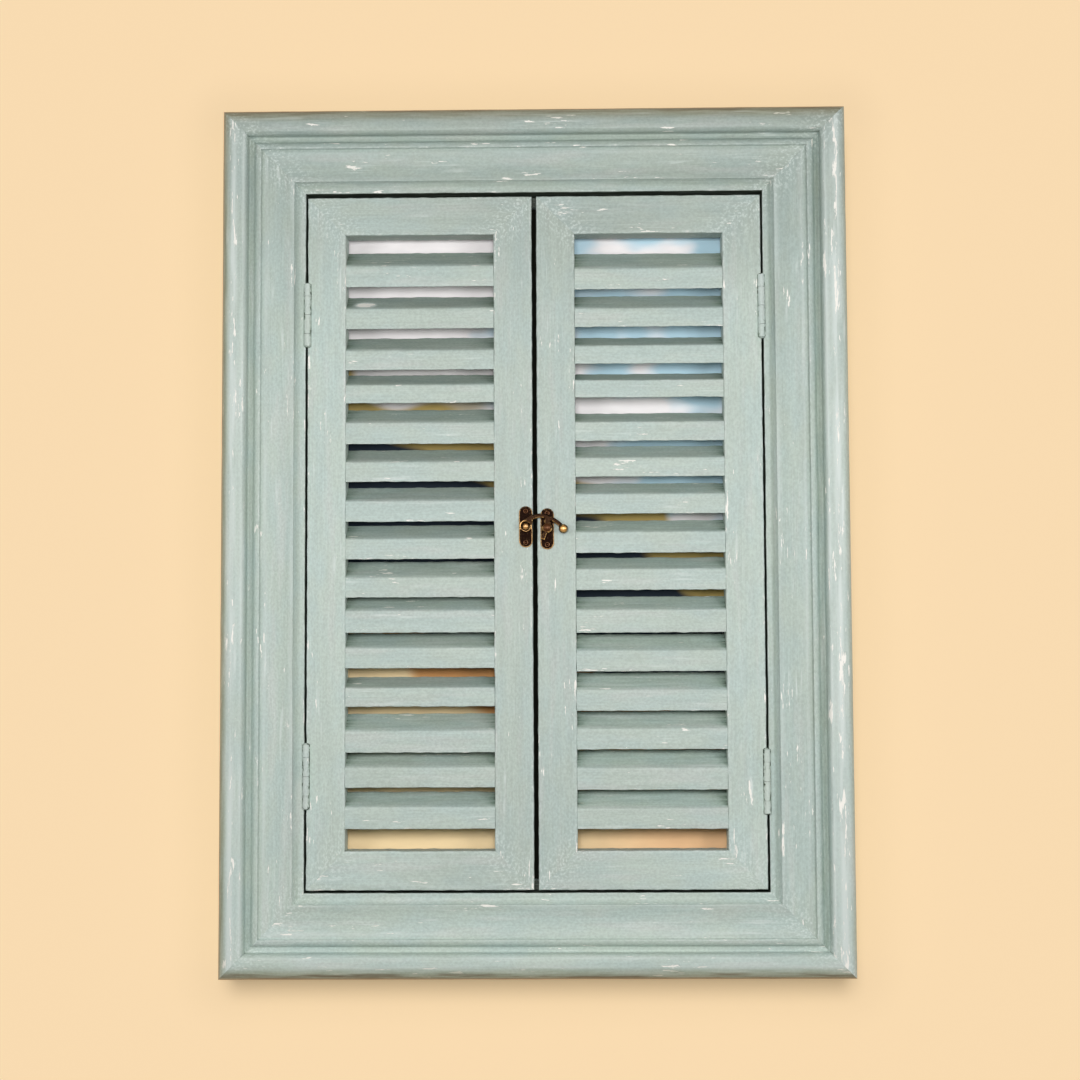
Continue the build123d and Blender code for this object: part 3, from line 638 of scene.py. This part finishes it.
def routed(member, outline, depth):
    """Cuts a bare wooden recess of this outline into a member's back."""
    cutter = bpy.data.meshes.new("router")
    verts = [(x, y, z) for y in (-depth, depth) for x, z in outline]
    count = len(outline)
    walls = [(i, (i + 1) % count, count + (i + 1) % count, count + i) for i in range(count)]
    cutter.from_pydata(verts, [], walls + [tuple(range(count))[::-1], tuple(range(count, 2 * count))])
    face_outwards(cutter)
    cutter.materials.append(frame_paint)
    holder = set_out("router", cutter)
    cut = member.modifiers.new("recess", "BOOLEAN")
    cut.operation = "DIFFERENCE"
    cut.solver = "EXACT"
    cut.object = holder
    solved = member.evaluated_get(bpy.context.evaluated_depsgraph_get())
    mesh = bpy.data.meshes.new_from_object(solved)
    old = member.data
    known = kdtree.KDTree(len(old.vertices))
    for vert in old.vertices:
        known.insert(vert.co, vert.index)
    known.balance()
    nearest = [known.find(vert.co) for vert in mesh.vertices]
    for layer, bare_value in (("grain", None), ("wear_end_dirt_and_shade", (0, 1, 0)), ("rub_highlight_bare_and_shade", (0, 1, 1))):
        before = old.attributes[layer].data
        if layer not in mesh.attributes:
            mesh.attributes.new(layer, "FLOAT_VECTOR", "POINT")
        after = mesh.attributes[layer].data
        for vert, (_, index, apart) in zip(mesh.vertices, nearest):
            cut_here = apart > same_place and bare_value
            after[vert.index].vector = bare_value if cut_here else before[index].vector
    member.modifiers.clear()
    member.data = mesh
    bpy.data.objects.remove(holder)


def slot_outline(x, z, half_w, half_h, corner):
    """A rounded upright slot."""
    points = []
    for turn, (sx, sz) in enumerate(((1, 1), (-1, 1), (-1, -1), (1, -1))):
        for k in range(corner_steps + 1):
            t = (turn + k / corner_steps) * pi / 2
            point_x = x + sx * (half_w - corner) + corner * cos(t)
            point_z = z + sz * (half_h - corner) + corner * sin(t)
            points.append((point_x, point_z))
    return points


top_rail = bpy.data.objects["painted_frame_top_rail"]
hanger_x = 0.120
hanger_z = 0.2565
plate_half_w, plate_half_h, plate_corner, plate_depth = 0.0080, 0.0190, 0.0045, 0.0015
head_half_w, head_half_h, head_depth = 0.0057, 0.0102, 0.0070
for x in (-hanger_x, hanger_x):
    routed(top_rail, slot_outline(x, hanger_z, plate_half_w, plate_half_h, plate_corner), plate_depth)
    routed(top_rail, slot_outline(x, hanger_z, head_half_w, head_half_h, head_half_w), head_depth)


# Print on card: a plain landscape of colour fields, sky over hills, water, clay and sand, with painted shade
# as a dark seam behind the meeting stiles. It is held in the rebate, so that only strips of it show between
# the slats.
print_sky = (0.47, 0.67, 0.77, 1)
print_cloud = (0.90, 0.86, 0.86, 1)
print_hill = (0.50, 0.37, 0.13, 1)
print_water = (0.030, 0.042, 0.060, 1)
print_clay = (0.66, 0.33, 0.13, 1)
print_sand = (0.98, 0.76, 0.45, 1)
print_peach = (0.88, 0.56, 0.31, 1)
seam_shade_colour = (0.012, 0.013, 0.009, 1)
print_seam = 0.005
field_soft = 0.004
field_tilt = 0.45
field_waver = 0.030
hill_top = 0.060
water_top = 0.020
clay_top = -0.080
sand_top = -0.110
shore_w = 0.10
cloud_drift = -1.6
card, tree, shader = new_finish("printed card")
spot = wire(tree, "ShaderNodeTexCoord", output=3)
parts = split(tree, spot)
waver = ramp(tree, speckle(tree, spot, (9, 1, 14), 1.5), 0.2, 0.8, -field_waver, field_waver)
slope = plus(tree, plus(tree, parts["Z"], times(tree, parts["X"], field_tilt)), waver)
lobes = speckle(tree, spot, (16, 1, 30), 2.0)
cloudy = plus(tree, lobes, times(tree, parts["X"], cloud_drift))
colour = blend(tree, ramp(tree, cloudy, 0.36, 0.50), print_sky, print_cloud)
shore = blend(tree, ramp(tree, parts["X"], 0.0, shore_w), print_sand, print_peach)
fields = ((print_hill, hill_top), (print_water, water_top), (print_clay, clay_top), (shore, sand_top))
for field, top in fields:
    colour = blend(tree, ramp(tree, slope, top + field_soft, top - field_soft), colour, field)
mottle = ramp(tree, speckle(tree, spot, (60, 1, 130), 2.0), 0.3, 0.7, 0.97, 1.03)
colour = scaled(tree, colour, mottle)
from_seam = wire(tree, "ShaderNodeMath", parts["X"], operation="ABSOLUTE")
# Painted shade: a near-black seam down the middle, behind the gap between the meeting stiles.
colour = blend(tree, ramp(tree, from_seam, 2 * print_seam, print_seam), colour, seam_shade_colour)
feed(tree, shader, {"Base Color": colour, "Roughness": 0.7, "Specular IOR Level": 0.05})


def dress(material, *names):
    """Gives CAD pieces their finish."""
    for name in names:
        nodes[name].data.materials.clear()
        nodes[name].data.materials.append(material)


dress(card, "picture_print")


# Back board: a sheet of pressed hardboard with a woven imprint on its back. It closes the rebate behind
# the print and is held by steel pins driven through its edge.
board_dark = (0.20, 0.115, 0.06, 1)
board_light = (0.36, 0.22, 0.12, 1)
imprint_scale = 420.0
imprint_bump = 0.0002
hardboard, tree, shader = new_finish("hardboard")
spot = wire(tree, "ShaderNodeTexCoord", output=3)
fibre = speckle(tree, spot, (700, 700, 700), 4.0, 0.7)
cloud = speckle(tree, spot, (16, 16, 16), 3.0)
colour = blend(tree, plus(tree, times(tree, fibre, 0.5), times(tree, cloud, 0.5)), board_dark, board_light)
imprint_x = wire(tree, "ShaderNodeTexWave", spot, imprint_scale, bands_direction="X")
imprint_z = wire(tree, "ShaderNodeTexWave", spot, imprint_scale, bands_direction="Z")
imprint = plus(tree, plus(tree, imprint_x, imprint_z), fibre)
normal = bumped(tree, imprint, imprint_bump)
feed(tree, shader, {"Base Color": colour, "Roughness": 0.7, "Normal": normal})
dress(hardboard, "back_board")


# Keyhole hangers, pins and screws: pressed and turned steel, zinc plated and a little dulled. The hangers
# lie in their recesses in the top rail, each held by its screws.
zinc_dull = (0.40, 0.40, 0.39, 1)
zinc_bright = (0.66, 0.66, 0.64, 1)
zinc, tree, shader = new_finish("dull zinc")
spot = wire(tree, "ShaderNodeTexCoord", output=3)
bloom = speckle(tree, spot, (260, 260, 260), 3.0, 0.6)
colour = blend(tree, bloom, zinc_dull, zinc_bright)
dulled = ramp(tree, bloom, 0.2, 0.8, 0.32, 0.55)
feed(tree, shader, {"Base Color": colour, "Roughness": dulled, "Metallic": 1})
dress(zinc, "back_board_pins", "hanger_plates", "hanger_screws", "frame_leaf_screws")
dress(zinc, "left_leaf_screws", "right_leaf_screws")


# Butt hinges: steel leaves let into the gap, with four knuckles and a pin, brushed over with the frame's
# paint so that only the joints of the knuckles show, and edged with a ragged painted shade along the barrel.
hinge_body = (0.50, 0.58, 0.52, 1)
hinge_cool = (0.47, 0.57, 0.54, 1)
hinge_bump = 0.0002
hinge_paint, tree, shader = new_finish("painted hinge")
parts = split(tree, wire(tree, "ShaderNodeTexCoord", output=3))
upright = wire(tree, "ShaderNodeCombineXYZ", parts["Z"], parts["X"], parts["Y"])
turned = split(tree, wire(tree, "ShaderNodeTexCoord", output=1))
facing = wire(tree, "ShaderNodeMath", turned["Y"], operation="ABSOLUTE")
ragged = ramp(tree, speckle(tree, upright, (300, 900, 1), 2.0), 0.3, 0.7, -0.34, 0.34)
broken = ramp(tree, speckle(tree, upright, (90, 420, 1), 2.0), 0.36, 0.62, 0.10, 1.0)
# Painted shade: the barrel's sides, where it turns away from the front, are outlined dark and ragged.
outline_shade = times(tree, ramp(tree, plus(tree, facing, ragged), 0.70, 0.36, 0.0, 1.2), broken)
finish = tree.nodes.new("ShaderNodeGroup")
finish.node_tree = paint
feed(tree, finish, {"Grain": upright, "Arris": 0, "End": 1, "Shade and dirt": outline_shade})
feed(tree, finish, {"Rub and highlight": 0.25, "Tone and shade": 0.97, "Body": hinge_body, "Cool": hinge_cool})
coated = finish.outputs
normal = bumped(tree, coated["Height"], hinge_bump)
feed(tree, shader, {"Base Color": coated["Color"], "Roughness": coated["Roughness"], "Normal": normal})
dress(hinge_paint, "frame_hinge_leaves", "hinge_pins", "left_hinge_leaves", "right_hinge_leaves")


# Shutters: plain bars with eased edges, mitred and glued at the corners, and painted with the frame.
# Each hangs on two hinges, with painted shade darkening its outer edges down in the gap.
shutter_arris = 0.0010
shutter_station = 0.0024
shutter_wobble = 0.00014
shutter_paint = paint_material("shutter paint", (0.474, 0.560, 0.505, 1), (0.455, 0.557, 0.525, 1))
low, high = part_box("left_shutter_top_rail")
member_w = high.z - low.z
bar = [(0, -high.y), (0, -low.y), (member_w, -low.y), (member_w, -high.y)]
bar_shape = eased_outline(bar, shutter_arris, outline_step)
u, d = bar_shape[0].T
edge_shade_strength = 0.95
edge_shade_d = 0.0012
edge_shade_fade = 0.0010
# Painted shade: the outer edge faces, back from the front, are darkened nearly to black.
edge_gap_shade = edge_shade_strength * (u < edge_clear) * ease(-low.y - edge_shade_d - d, 0, edge_shade_fade)
bar_coat = (1 + 0 * u, edge_gap_shade, 0 * u, 0 * u, 0 * u)
# Painted light and shade over the shutters, by place across and by height.
meeting_shade = 0.88
hinge_side_lightening = 0.10
hinge_side_span = (0.02, 0.12)
right_shutter_darkening = 0.025
right_shutter_reach = 0.1
right_shutter_from = 0.05
right_foot_lightening = 0.06
head_darkening = 0.110
right_head_darkening = 0.05
shutter_span = (0.14, 0.21)
shutter_seed = 11
right_seed_step = 7


def shutter_light_falloff(x, z):
    """Painted light and shade: darker towards the meeting stiles, the top and the right shutter, and lighter
    towards the hinge stiles and at the right shutter's foot.
    """
    right = ease(x, 0.0, right_shutter_from)
    head = (head_darkening + right_head_darkening * right) * ease(z, *shutter_span)
    up = right_foot_lightening * right * ease(-z, *shutter_span) - head
    across = meeting_shade + hinge_side_lightening * ease(abs(x), *hinge_side_span)
    return (across - right_shutter_darkening * ease(x, 0, right_shutter_reach)) * (1 + up)


shutter_marks = {"right_shutter_hinge_stile": [(-0.163, 0.0262, 0.011, 0.0012)]}
for side, outwards in (("left", -RIGHT), ("right", RIGHT)):
    members = (
        ("top_rail", -UP),
        ("bottom_rail", UP),
        ("hinge_stile", -outwards),
        ("meeting_stile", outwards),
    )
    for number, (member_name, inward) in enumerate(members):
        node = f"{side}_shutter_{member_name}"
        outer, length = outer_edge(node, inward)
        seed = shutter_seed + number + (outwards.x > 0) * right_seed_step
        marks = shutter_marks.get(node, ())
        member = planed_length(
            "painted_" + node, bar_shape, bar_coat, shutter_light_falloff, outer, inward, length, 1, shutter_station,
            seed, shutter_wobble, marks,
        )
        member.data.materials.append(shutter_paint)
        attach(member, side + "_shutter")
        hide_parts(node)


# Slats: short boards with a square nose and a sloped top, set by hand and glued between the stiles, each a
# little off its neighbours, with the paint worn along the nose. Painted shade darkens the slopes, most at
# their ends, on the higher slats and on the left shutter.
slat_arris = 0.0008
tail_clear = 1e-5
slat_station = 0.0014
slat_wobble = 0.00018
slat_count = 15
slat_seed = 30
right_slat_step = 20
slat_wear = 0.8
# Painted shade on the slopes, deeper at their ends; the slope tones paint light falling off with height and
# side.
slope_shade = 0.22
slope_end_shade = 0.45
slope_span = (-0.0008, -0.0030)
slope_darkening = 0.6
slat_tone = 0.92
slope_side_shade = {"left": -0.06, "right": 0.07}
slat_marks = {"left_slat_02": [(-0.036, 0.0195, 0.009, 0.0045)]}
for side in ("left", "right"):
    for number in range(1, slat_count + 1):
        node = f"{side}_slat_{number:02d}"
        low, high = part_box(node)
        tail = [v.co.z for v in nodes[node].data.vertices if v.co.y > high.y - tail_clear]
        nose_h = max(tail) - min(tail)
        rise = high.z - low.z - nose_h
        section = [(0, -low.y), (nose_h, -low.y), (nose_h + rise, -high.y), (rise, -high.y)]
        shape = eased_outline(section, slat_arris, outline_step)
        u, d = shape[0].T
        sloped = ease(low.y + d, *slope_span)
        slat_coat = (slat_wear + 0 * u, slope_shade * sloped, 0 * u, 0 * u, slope_end_shade * sloped)
        # Painted light and shade: each slope darker the higher its slat stands, and by its shutter's side.
        tone_and_shade = slat_tone + sloped * (slope_side_shade[side] - slope_darkening * low.z)
        outer = Vector(((low.x + high.x) / 2, 0, low.z))
        seed = slat_seed + number + (side == "right") * right_slat_step
        slat = planed_length(
            "painted_" + node, shape, slat_coat, tone_and_shade, outer, UP, high.x - low.x, 0, slat_station, seed,
            slat_wobble, slat_marks.get(node, ()),
        )
        slat.data.materials.append(shutter_paint)
        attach(slat, side + "_shutter")
        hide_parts(node)


# Swing latch: two round-ended plates screwed to the meeting stiles, a stud on the left one, and a cast hook
# riveted to the right one; antique bronze, dark in the hollows and bright where hands have rubbed it.
cast_voxel = 0.00014
cast_rounds = 4
cast_soften = 0.5
ridge_rounds = 3
ridge_unit = 1000
least_run = 1e-12
cast_bump = 0.00015
cast_bump_strength = 0.35
aged, given, result = shader_group(
    "aged bronze",
    (
        ("Ridge", "NodeSocketFloat"),
        ("Gain", "NodeSocketFloat"),
        ("Polish", "NodeSocketFloat"),
        ("Dark", "NodeSocketColor"),
        ("Bright", "NodeSocketColor"),
    ),
    (
        ("Color", "NodeSocketColor"),
        ("Roughness", "NodeSocketFloat"),
        ("Metal", "NodeSocketFloat"),
        ("Height", "NodeSocketFloat"),
    ),
)
spot = wire(aged, "ShaderNodeTexCoord", output=3)
patina = speckle(aged, spot, (900, 900, 900), 4.0, 0.65)
turned = split(aged, wire(aged, "ShaderNodeTexCoord", output=1))
keen = times(aged, given["Ridge"], given["Gain"])
keen = times(aged, keen, ramp(aged, turned["Z"], -0.6, 0.7, 1.15, 0.45))
handled = plus(aged, ramp(aged, keen, 0.25, 1.20), given["Polish"])
bright = ramp(aged, plus(aged, handled, ramp(aged, patina, 0.30, 0.70, -0.30, 0.26)), 0.15, 0.95)
hollow = ramp(aged, given["Ridge"], -0.1, -0.9, 1.0, 0.35)
colour = blend(aged, bright, given["Dark"], given["Bright"])
aged.links.new(scaled(aged, colour, hollow), result["Color"])
aged.links.new(ramp(aged, bright, 0.0, 1.0, 0.38, 0.32), result["Roughness"])
aged.links.new(ramp(aged, bright, 0.0, 1.0, 1.00, 0.95), result["Metal"])
aged.links.new(patina, result["Height"])


def bronze_material(name, dark, bright_colour, gain):
    """Patinated bronze, rubbed bright on its ridges and where it is handled."""
    made, tree, shader = new_finish(name)
    look = tree.nodes.new("ShaderNodeGroup")
    look.node_tree = aged
    skin = split(tree, wire(tree, "ShaderNodeAttribute", attribute_name="skin", output=1))
    feed(tree, look, {"Ridge": skin["X"], "Gain": gain, "Polish": skin["Y"]})
    feed(tree, look, {"Dark": dark, "Bright": bright_colour})
    normal = bumped(tree, look.outputs["Height"], cast_bump, cast_bump_strength)
    feed(tree, shader, {"Base Color": look.outputs["Color"], "Roughness": look.outputs["Roughness"]})
    feed(tree, shader, {"Metallic": look.outputs["Metal"], "Normal": normal})
    return made


plate_bronze = bronze_material("plate bronze", (0.0030, 0.0014, 0.0010, 1), (0.42, 0.27, 0.13, 1), 1.3)
hook_bronze = bronze_material("hook bronze", (0.0090, 0.0045, 0.0026, 1), (0.52, 0.34, 0.15, 1), 1.15)


def cast_copy(node, body, material, handled=None, reach=1.0):
    """A copy of a CAD piece with a casting's soft edges, brighter round the place where it is handled."""
    piece = set_out("cast_" + node, nodes[node].data.copy())
    remesh = piece.modifiers.new("skin", "REMESH")
    remesh.mode = "VOXEL"
    remesh.voxel_size = cast_voxel
    soften = piece.modifiers.new("soften", "SMOOTH")
    soften.factor = cast_soften
    soften.iterations = cast_rounds
    solved = piece.evaluated_get(bpy.context.evaluated_depsgraph_get())
    mesh = bpy.data.meshes.new_from_object(solved)
    piece.modifiers.clear()
    piece.data = mesh
    mesh.shade_smooth()
    mesh.materials.clear()
    mesh.materials.append(material)
    count = len(mesh.vertices)
    places, normals = np.empty(count * 3), np.empty(count * 3)
    ends = np.empty(len(mesh.edges) * 2, int)
    mesh.vertices.foreach_get("co", places)
    mesh.vertex_normals.foreach_get("vector", normals)
    mesh.edges.foreach_get("vertices", ends)
    places, normals, ends = places.reshape(-1, 3), normals.reshape(-1, 3), ends.reshape(-1, 2)
    run = places[ends[:, 1]] - places[ends[:, 0]]
    lean = normals[ends[:, 1]] - normals[ends[:, 0]]
    bend = (run * lean).sum(1) / np.maximum((run * run).sum(1), least_run) / ridge_unit
    shared = np.bincount(ends.ravel(), minlength=count)
    ridge = np.bincount(ends.ravel(), np.repeat(bend, 2), count) / shared
    for _ in range(ridge_rounds):
        ridge = np.bincount(ends.ravel(), ridge[ends[:, ::-1]].ravel(), count) / shared
    polish = np.zeros(count)
    if handled:
        polish = np.exp(-(((places - np.array(handled)) / reach) ** 2).sum(1))
    lay(mesh, "skin", ridge, polish, 0 * polish)
    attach(piece, body)
    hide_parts(node)


stud_z = 0.0077
stud_reach = 0.0024
ball_inset = 0.003
ball_sink = 0.001
ball_z = 0.0058
ball_reach = 0.0030
low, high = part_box("catch_plate")
stud_top = ((low.x + high.x) / 2, low.y, stud_z)
low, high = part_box("latch_hook")
ball_top = (high.x - ball_inset, low.y + ball_sink, ball_z)
screw_bronze = bronze_material("screw bronze", (0.010, 0.004, 0.0025, 1), (0.14, 0.070, 0.040, 1), 1.0)
rivet_bronze = bronze_material("rivet bronze", (0.070, 0.034, 0.020, 1), (0.40, 0.25, 0.12, 1), 1.0)
cast_copy("catch_plate", "left_shutter", plate_bronze, stud_top, stud_reach)
cast_copy("catch_plate_screws", "left_shutter", screw_bronze)
cast_copy("hook_plate", "right_shutter", plate_bronze)
cast_copy("hook_plate_screws", "right_shutter", screw_bronze)
cast_copy("hook_rivet", "right_shutter", rivet_bronze)
cast_copy("latch_hook", "latch_hook", hook_bronze, ball_top, ball_reach)


# Backdrop: a plain peach sheet just behind the frame, cut open behind it and clear from the back, so that
# the frame's back is seen and lit as well. It glows a little, and painted shade dims the glow near the frame
# and takes it away at the frame's edge.
wall_colour = (0.939, 0.708, 0.440, 1)
wall_half = 4.0
wall_gap = 0.0015
wall_hole_inset = 0.006
wall_glow = 0.366
wall_shaded_glow = 0.278
wall_contact_shade_reach = 0.005
wall_shade_reach = 0.045
low, high = cad_box
around_wall = ((-1, -1), (1, -1), (1, 1), (-1, 1))
outer_ring = [(x * wall_half, z * wall_half) for x, z in around_wall]
hole_low = (low.x + wall_hole_inset, low.z + wall_hole_inset)
hole_high = (high.x - wall_hole_inset, high.z - wall_hole_inset)
inner_ring = [hole_low, (hole_high[0], hole_low[1]), hole_high, (hole_low[0], hole_high[1])]
wall_mesh = bpy.data.meshes.new("wall")
wall_verts = [(x, wall_gap, z) for x, z in outer_ring + inner_ring]
wall_mesh.from_pydata(wall_verts, [], [(i, (i + 1) % 4, 4 + (i + 1) % 4, 4 + i) for i in range(4)])
wall = set_out("wall", wall_mesh)
plaster, tree, shader = new_finish("plain wall")
tree.nodes.remove(shader)
lit = wire(tree, "ShaderNodeBsdfDiffuse", wall_colour)
spot = wire(tree, "ShaderNodeTexCoord", output=3)
apart = wire(tree, "ShaderNodeVectorMath", spot, operation="ABSOLUTE")
apart = wire(tree, "ShaderNodeVectorMath", apart, (high.x, 1, high.z), operation="SUBTRACT")
apart = wire(tree, "ShaderNodeVectorMath", apart, (0, 0, 0), operation="MAXIMUM")
apart = wire(tree, "ShaderNodeVectorMath", apart, operation="LENGTH", output=1)
# Painted shade: the glow falls off near the frame and is gone at its edge.
glow = ramp(tree, apart, 0, wall_shade_reach, wall_shaded_glow, wall_glow)
glow = times(tree, glow, ramp(tree, apart, 0, wall_contact_shade_reach))
glow = wire(tree, "ShaderNodeEmission", wall_colour, glow)
wall_front = wire(tree, "ShaderNodeAddShader", lit, glow)
clear = wire(tree, "ShaderNodeBsdfTransparent")
behind = wire(tree, "ShaderNodeNewGeometry", output=6)
seen = wire(tree, "ShaderNodeMixShader", behind, wall_front, clear)
tree.links.new(seen, tree.nodes["Material Output"].inputs["Surface"])
wall_mesh.materials.append(plaster)
wall.visible_shadow = False


# Studio light: a soft box at each side, one in front above the camera, one behind for the back, and a sun
# that only lights the backdrop and throws the frame's shadow down on it. The dim, even surroundings show in
# the backdrop's colour to the camera, in reflections and through clear things.
sun_power = 1.68
sun_spread = 0.50
sun_way = Vector((0.03, 1.0, -0.33))
ambient_power = 0.13


def soft_box(name, place, size, power, target=(0, 0, 0)):
    """An area lamp that looks at the frame."""
    lamp = bpy.data.lights.new(name, "AREA")
    lamp.shape = "RECTANGLE"
    lamp.size, lamp.size_y = size
    lamp.energy = power
    holder = set_out(name, lamp)
    holder.location = place
    holder.rotation_euler = (Vector(target) - Vector(place)).to_track_quat("-Z", "Y").to_euler()
    holder.visible_camera = False
    return holder


boxes = [
    soft_box("left box", (-0.70, -0.80, 0.06), (0.35, 0.35), 2.5),
    soft_box("right box", (0.70, -0.80, 0.06), (0.35, 0.35), 3.3),
    soft_box("front box", (0.0, -1.0, 0.08), (0.25, 0.25), 5.1),
    soft_box("back box", (0, 1.8, 0.5), (0.4, 0.4), 26),
]
no_wall = bpy.data.collections.new("all but the wall")
no_wall.objects.link(wall)
no_wall.collection_objects[0].light_linking.link_state = "EXCLUDE"
for box in boxes:
    box.light_linking.receiver_collection = no_wall
no_knuckles = bpy.data.collections.new("all but the knuckles")
for name in ("frame_hinge_leaves", "hinge_pins", "left_hinge_leaves", "right_hinge_leaves"):
    no_knuckles.objects.link(nodes[name])
for knuckle in no_knuckles.collection_objects:
    knuckle.light_linking.link_state = "EXCLUDE"
for box in boxes[:2]:
    box.light_linking.blocker_collection = no_knuckles
only_wall = bpy.data.collections.new("the wall alone")
only_wall.objects.link(wall)
sun = bpy.data.lights.new("wall sun", "SUN")
sun.energy = sun_power
sun.angle = sun_spread
sun_holder = set_out("wall sun", sun)
sun_holder.rotation_euler = sun_way.to_track_quat("-Z", "Y").to_euler()
sun_holder.light_linking.receiver_collection = only_wall
world = bpy.data.worlds.new("studio")
world.use_nodes = True
bpy.context.scene.world = world
tree = world.node_tree
ambient = wire(tree, "ShaderNodeBackground", (1, 1, 1, 1), ambient_power)
backdrop = wire(tree, "ShaderNodeBackground", wall_colour, 1.0)
path = tree.nodes.new("ShaderNodeLightPath").outputs
shown = greater(tree, path["Is Camera Ray"], path["Is Glossy Ray"])
shown = greater(tree, shown, path["Is Transmission Ray"])
both = wire(tree, "ShaderNodeMixShader", shown, ambient, backdrop)
tree.links.new(both, tree.nodes["World Output"].inputs["Surface"])


# Camera: in front of the frame, a little below its middle and looking slightly up, turned and rolled by
# the small angles that fit the corners of the frame.
eye = Vector((0.022136, -1.2, -0.075349))
yaw, pitch, roll = -0.0162, 0.0633, -0.0046
camera_lens = 60.342
camera_sensor = 36
forward = Vector((sin(yaw) * cos(pitch), cos(yaw) * cos(pitch), sin(pitch)))
level = Vector((cos(yaw), -sin(yaw), 0))
upright = level.cross(forward)
across = level * cos(roll) + upright * sin(roll)
upright = upright * cos(roll) - level * sin(roll)
camera = set_out("camera", bpy.data.cameras.new("camera"))
camera.data.sensor_width = camera_sensor
camera.data.lens = camera_lens
camera.matrix_world = Matrix((across, upright, -forward)).transposed().to_4x4()
camera.location = eye
bpy.context.scene.camera = camera
bpy.context.scene.view_settings.view_transform = "Standard"
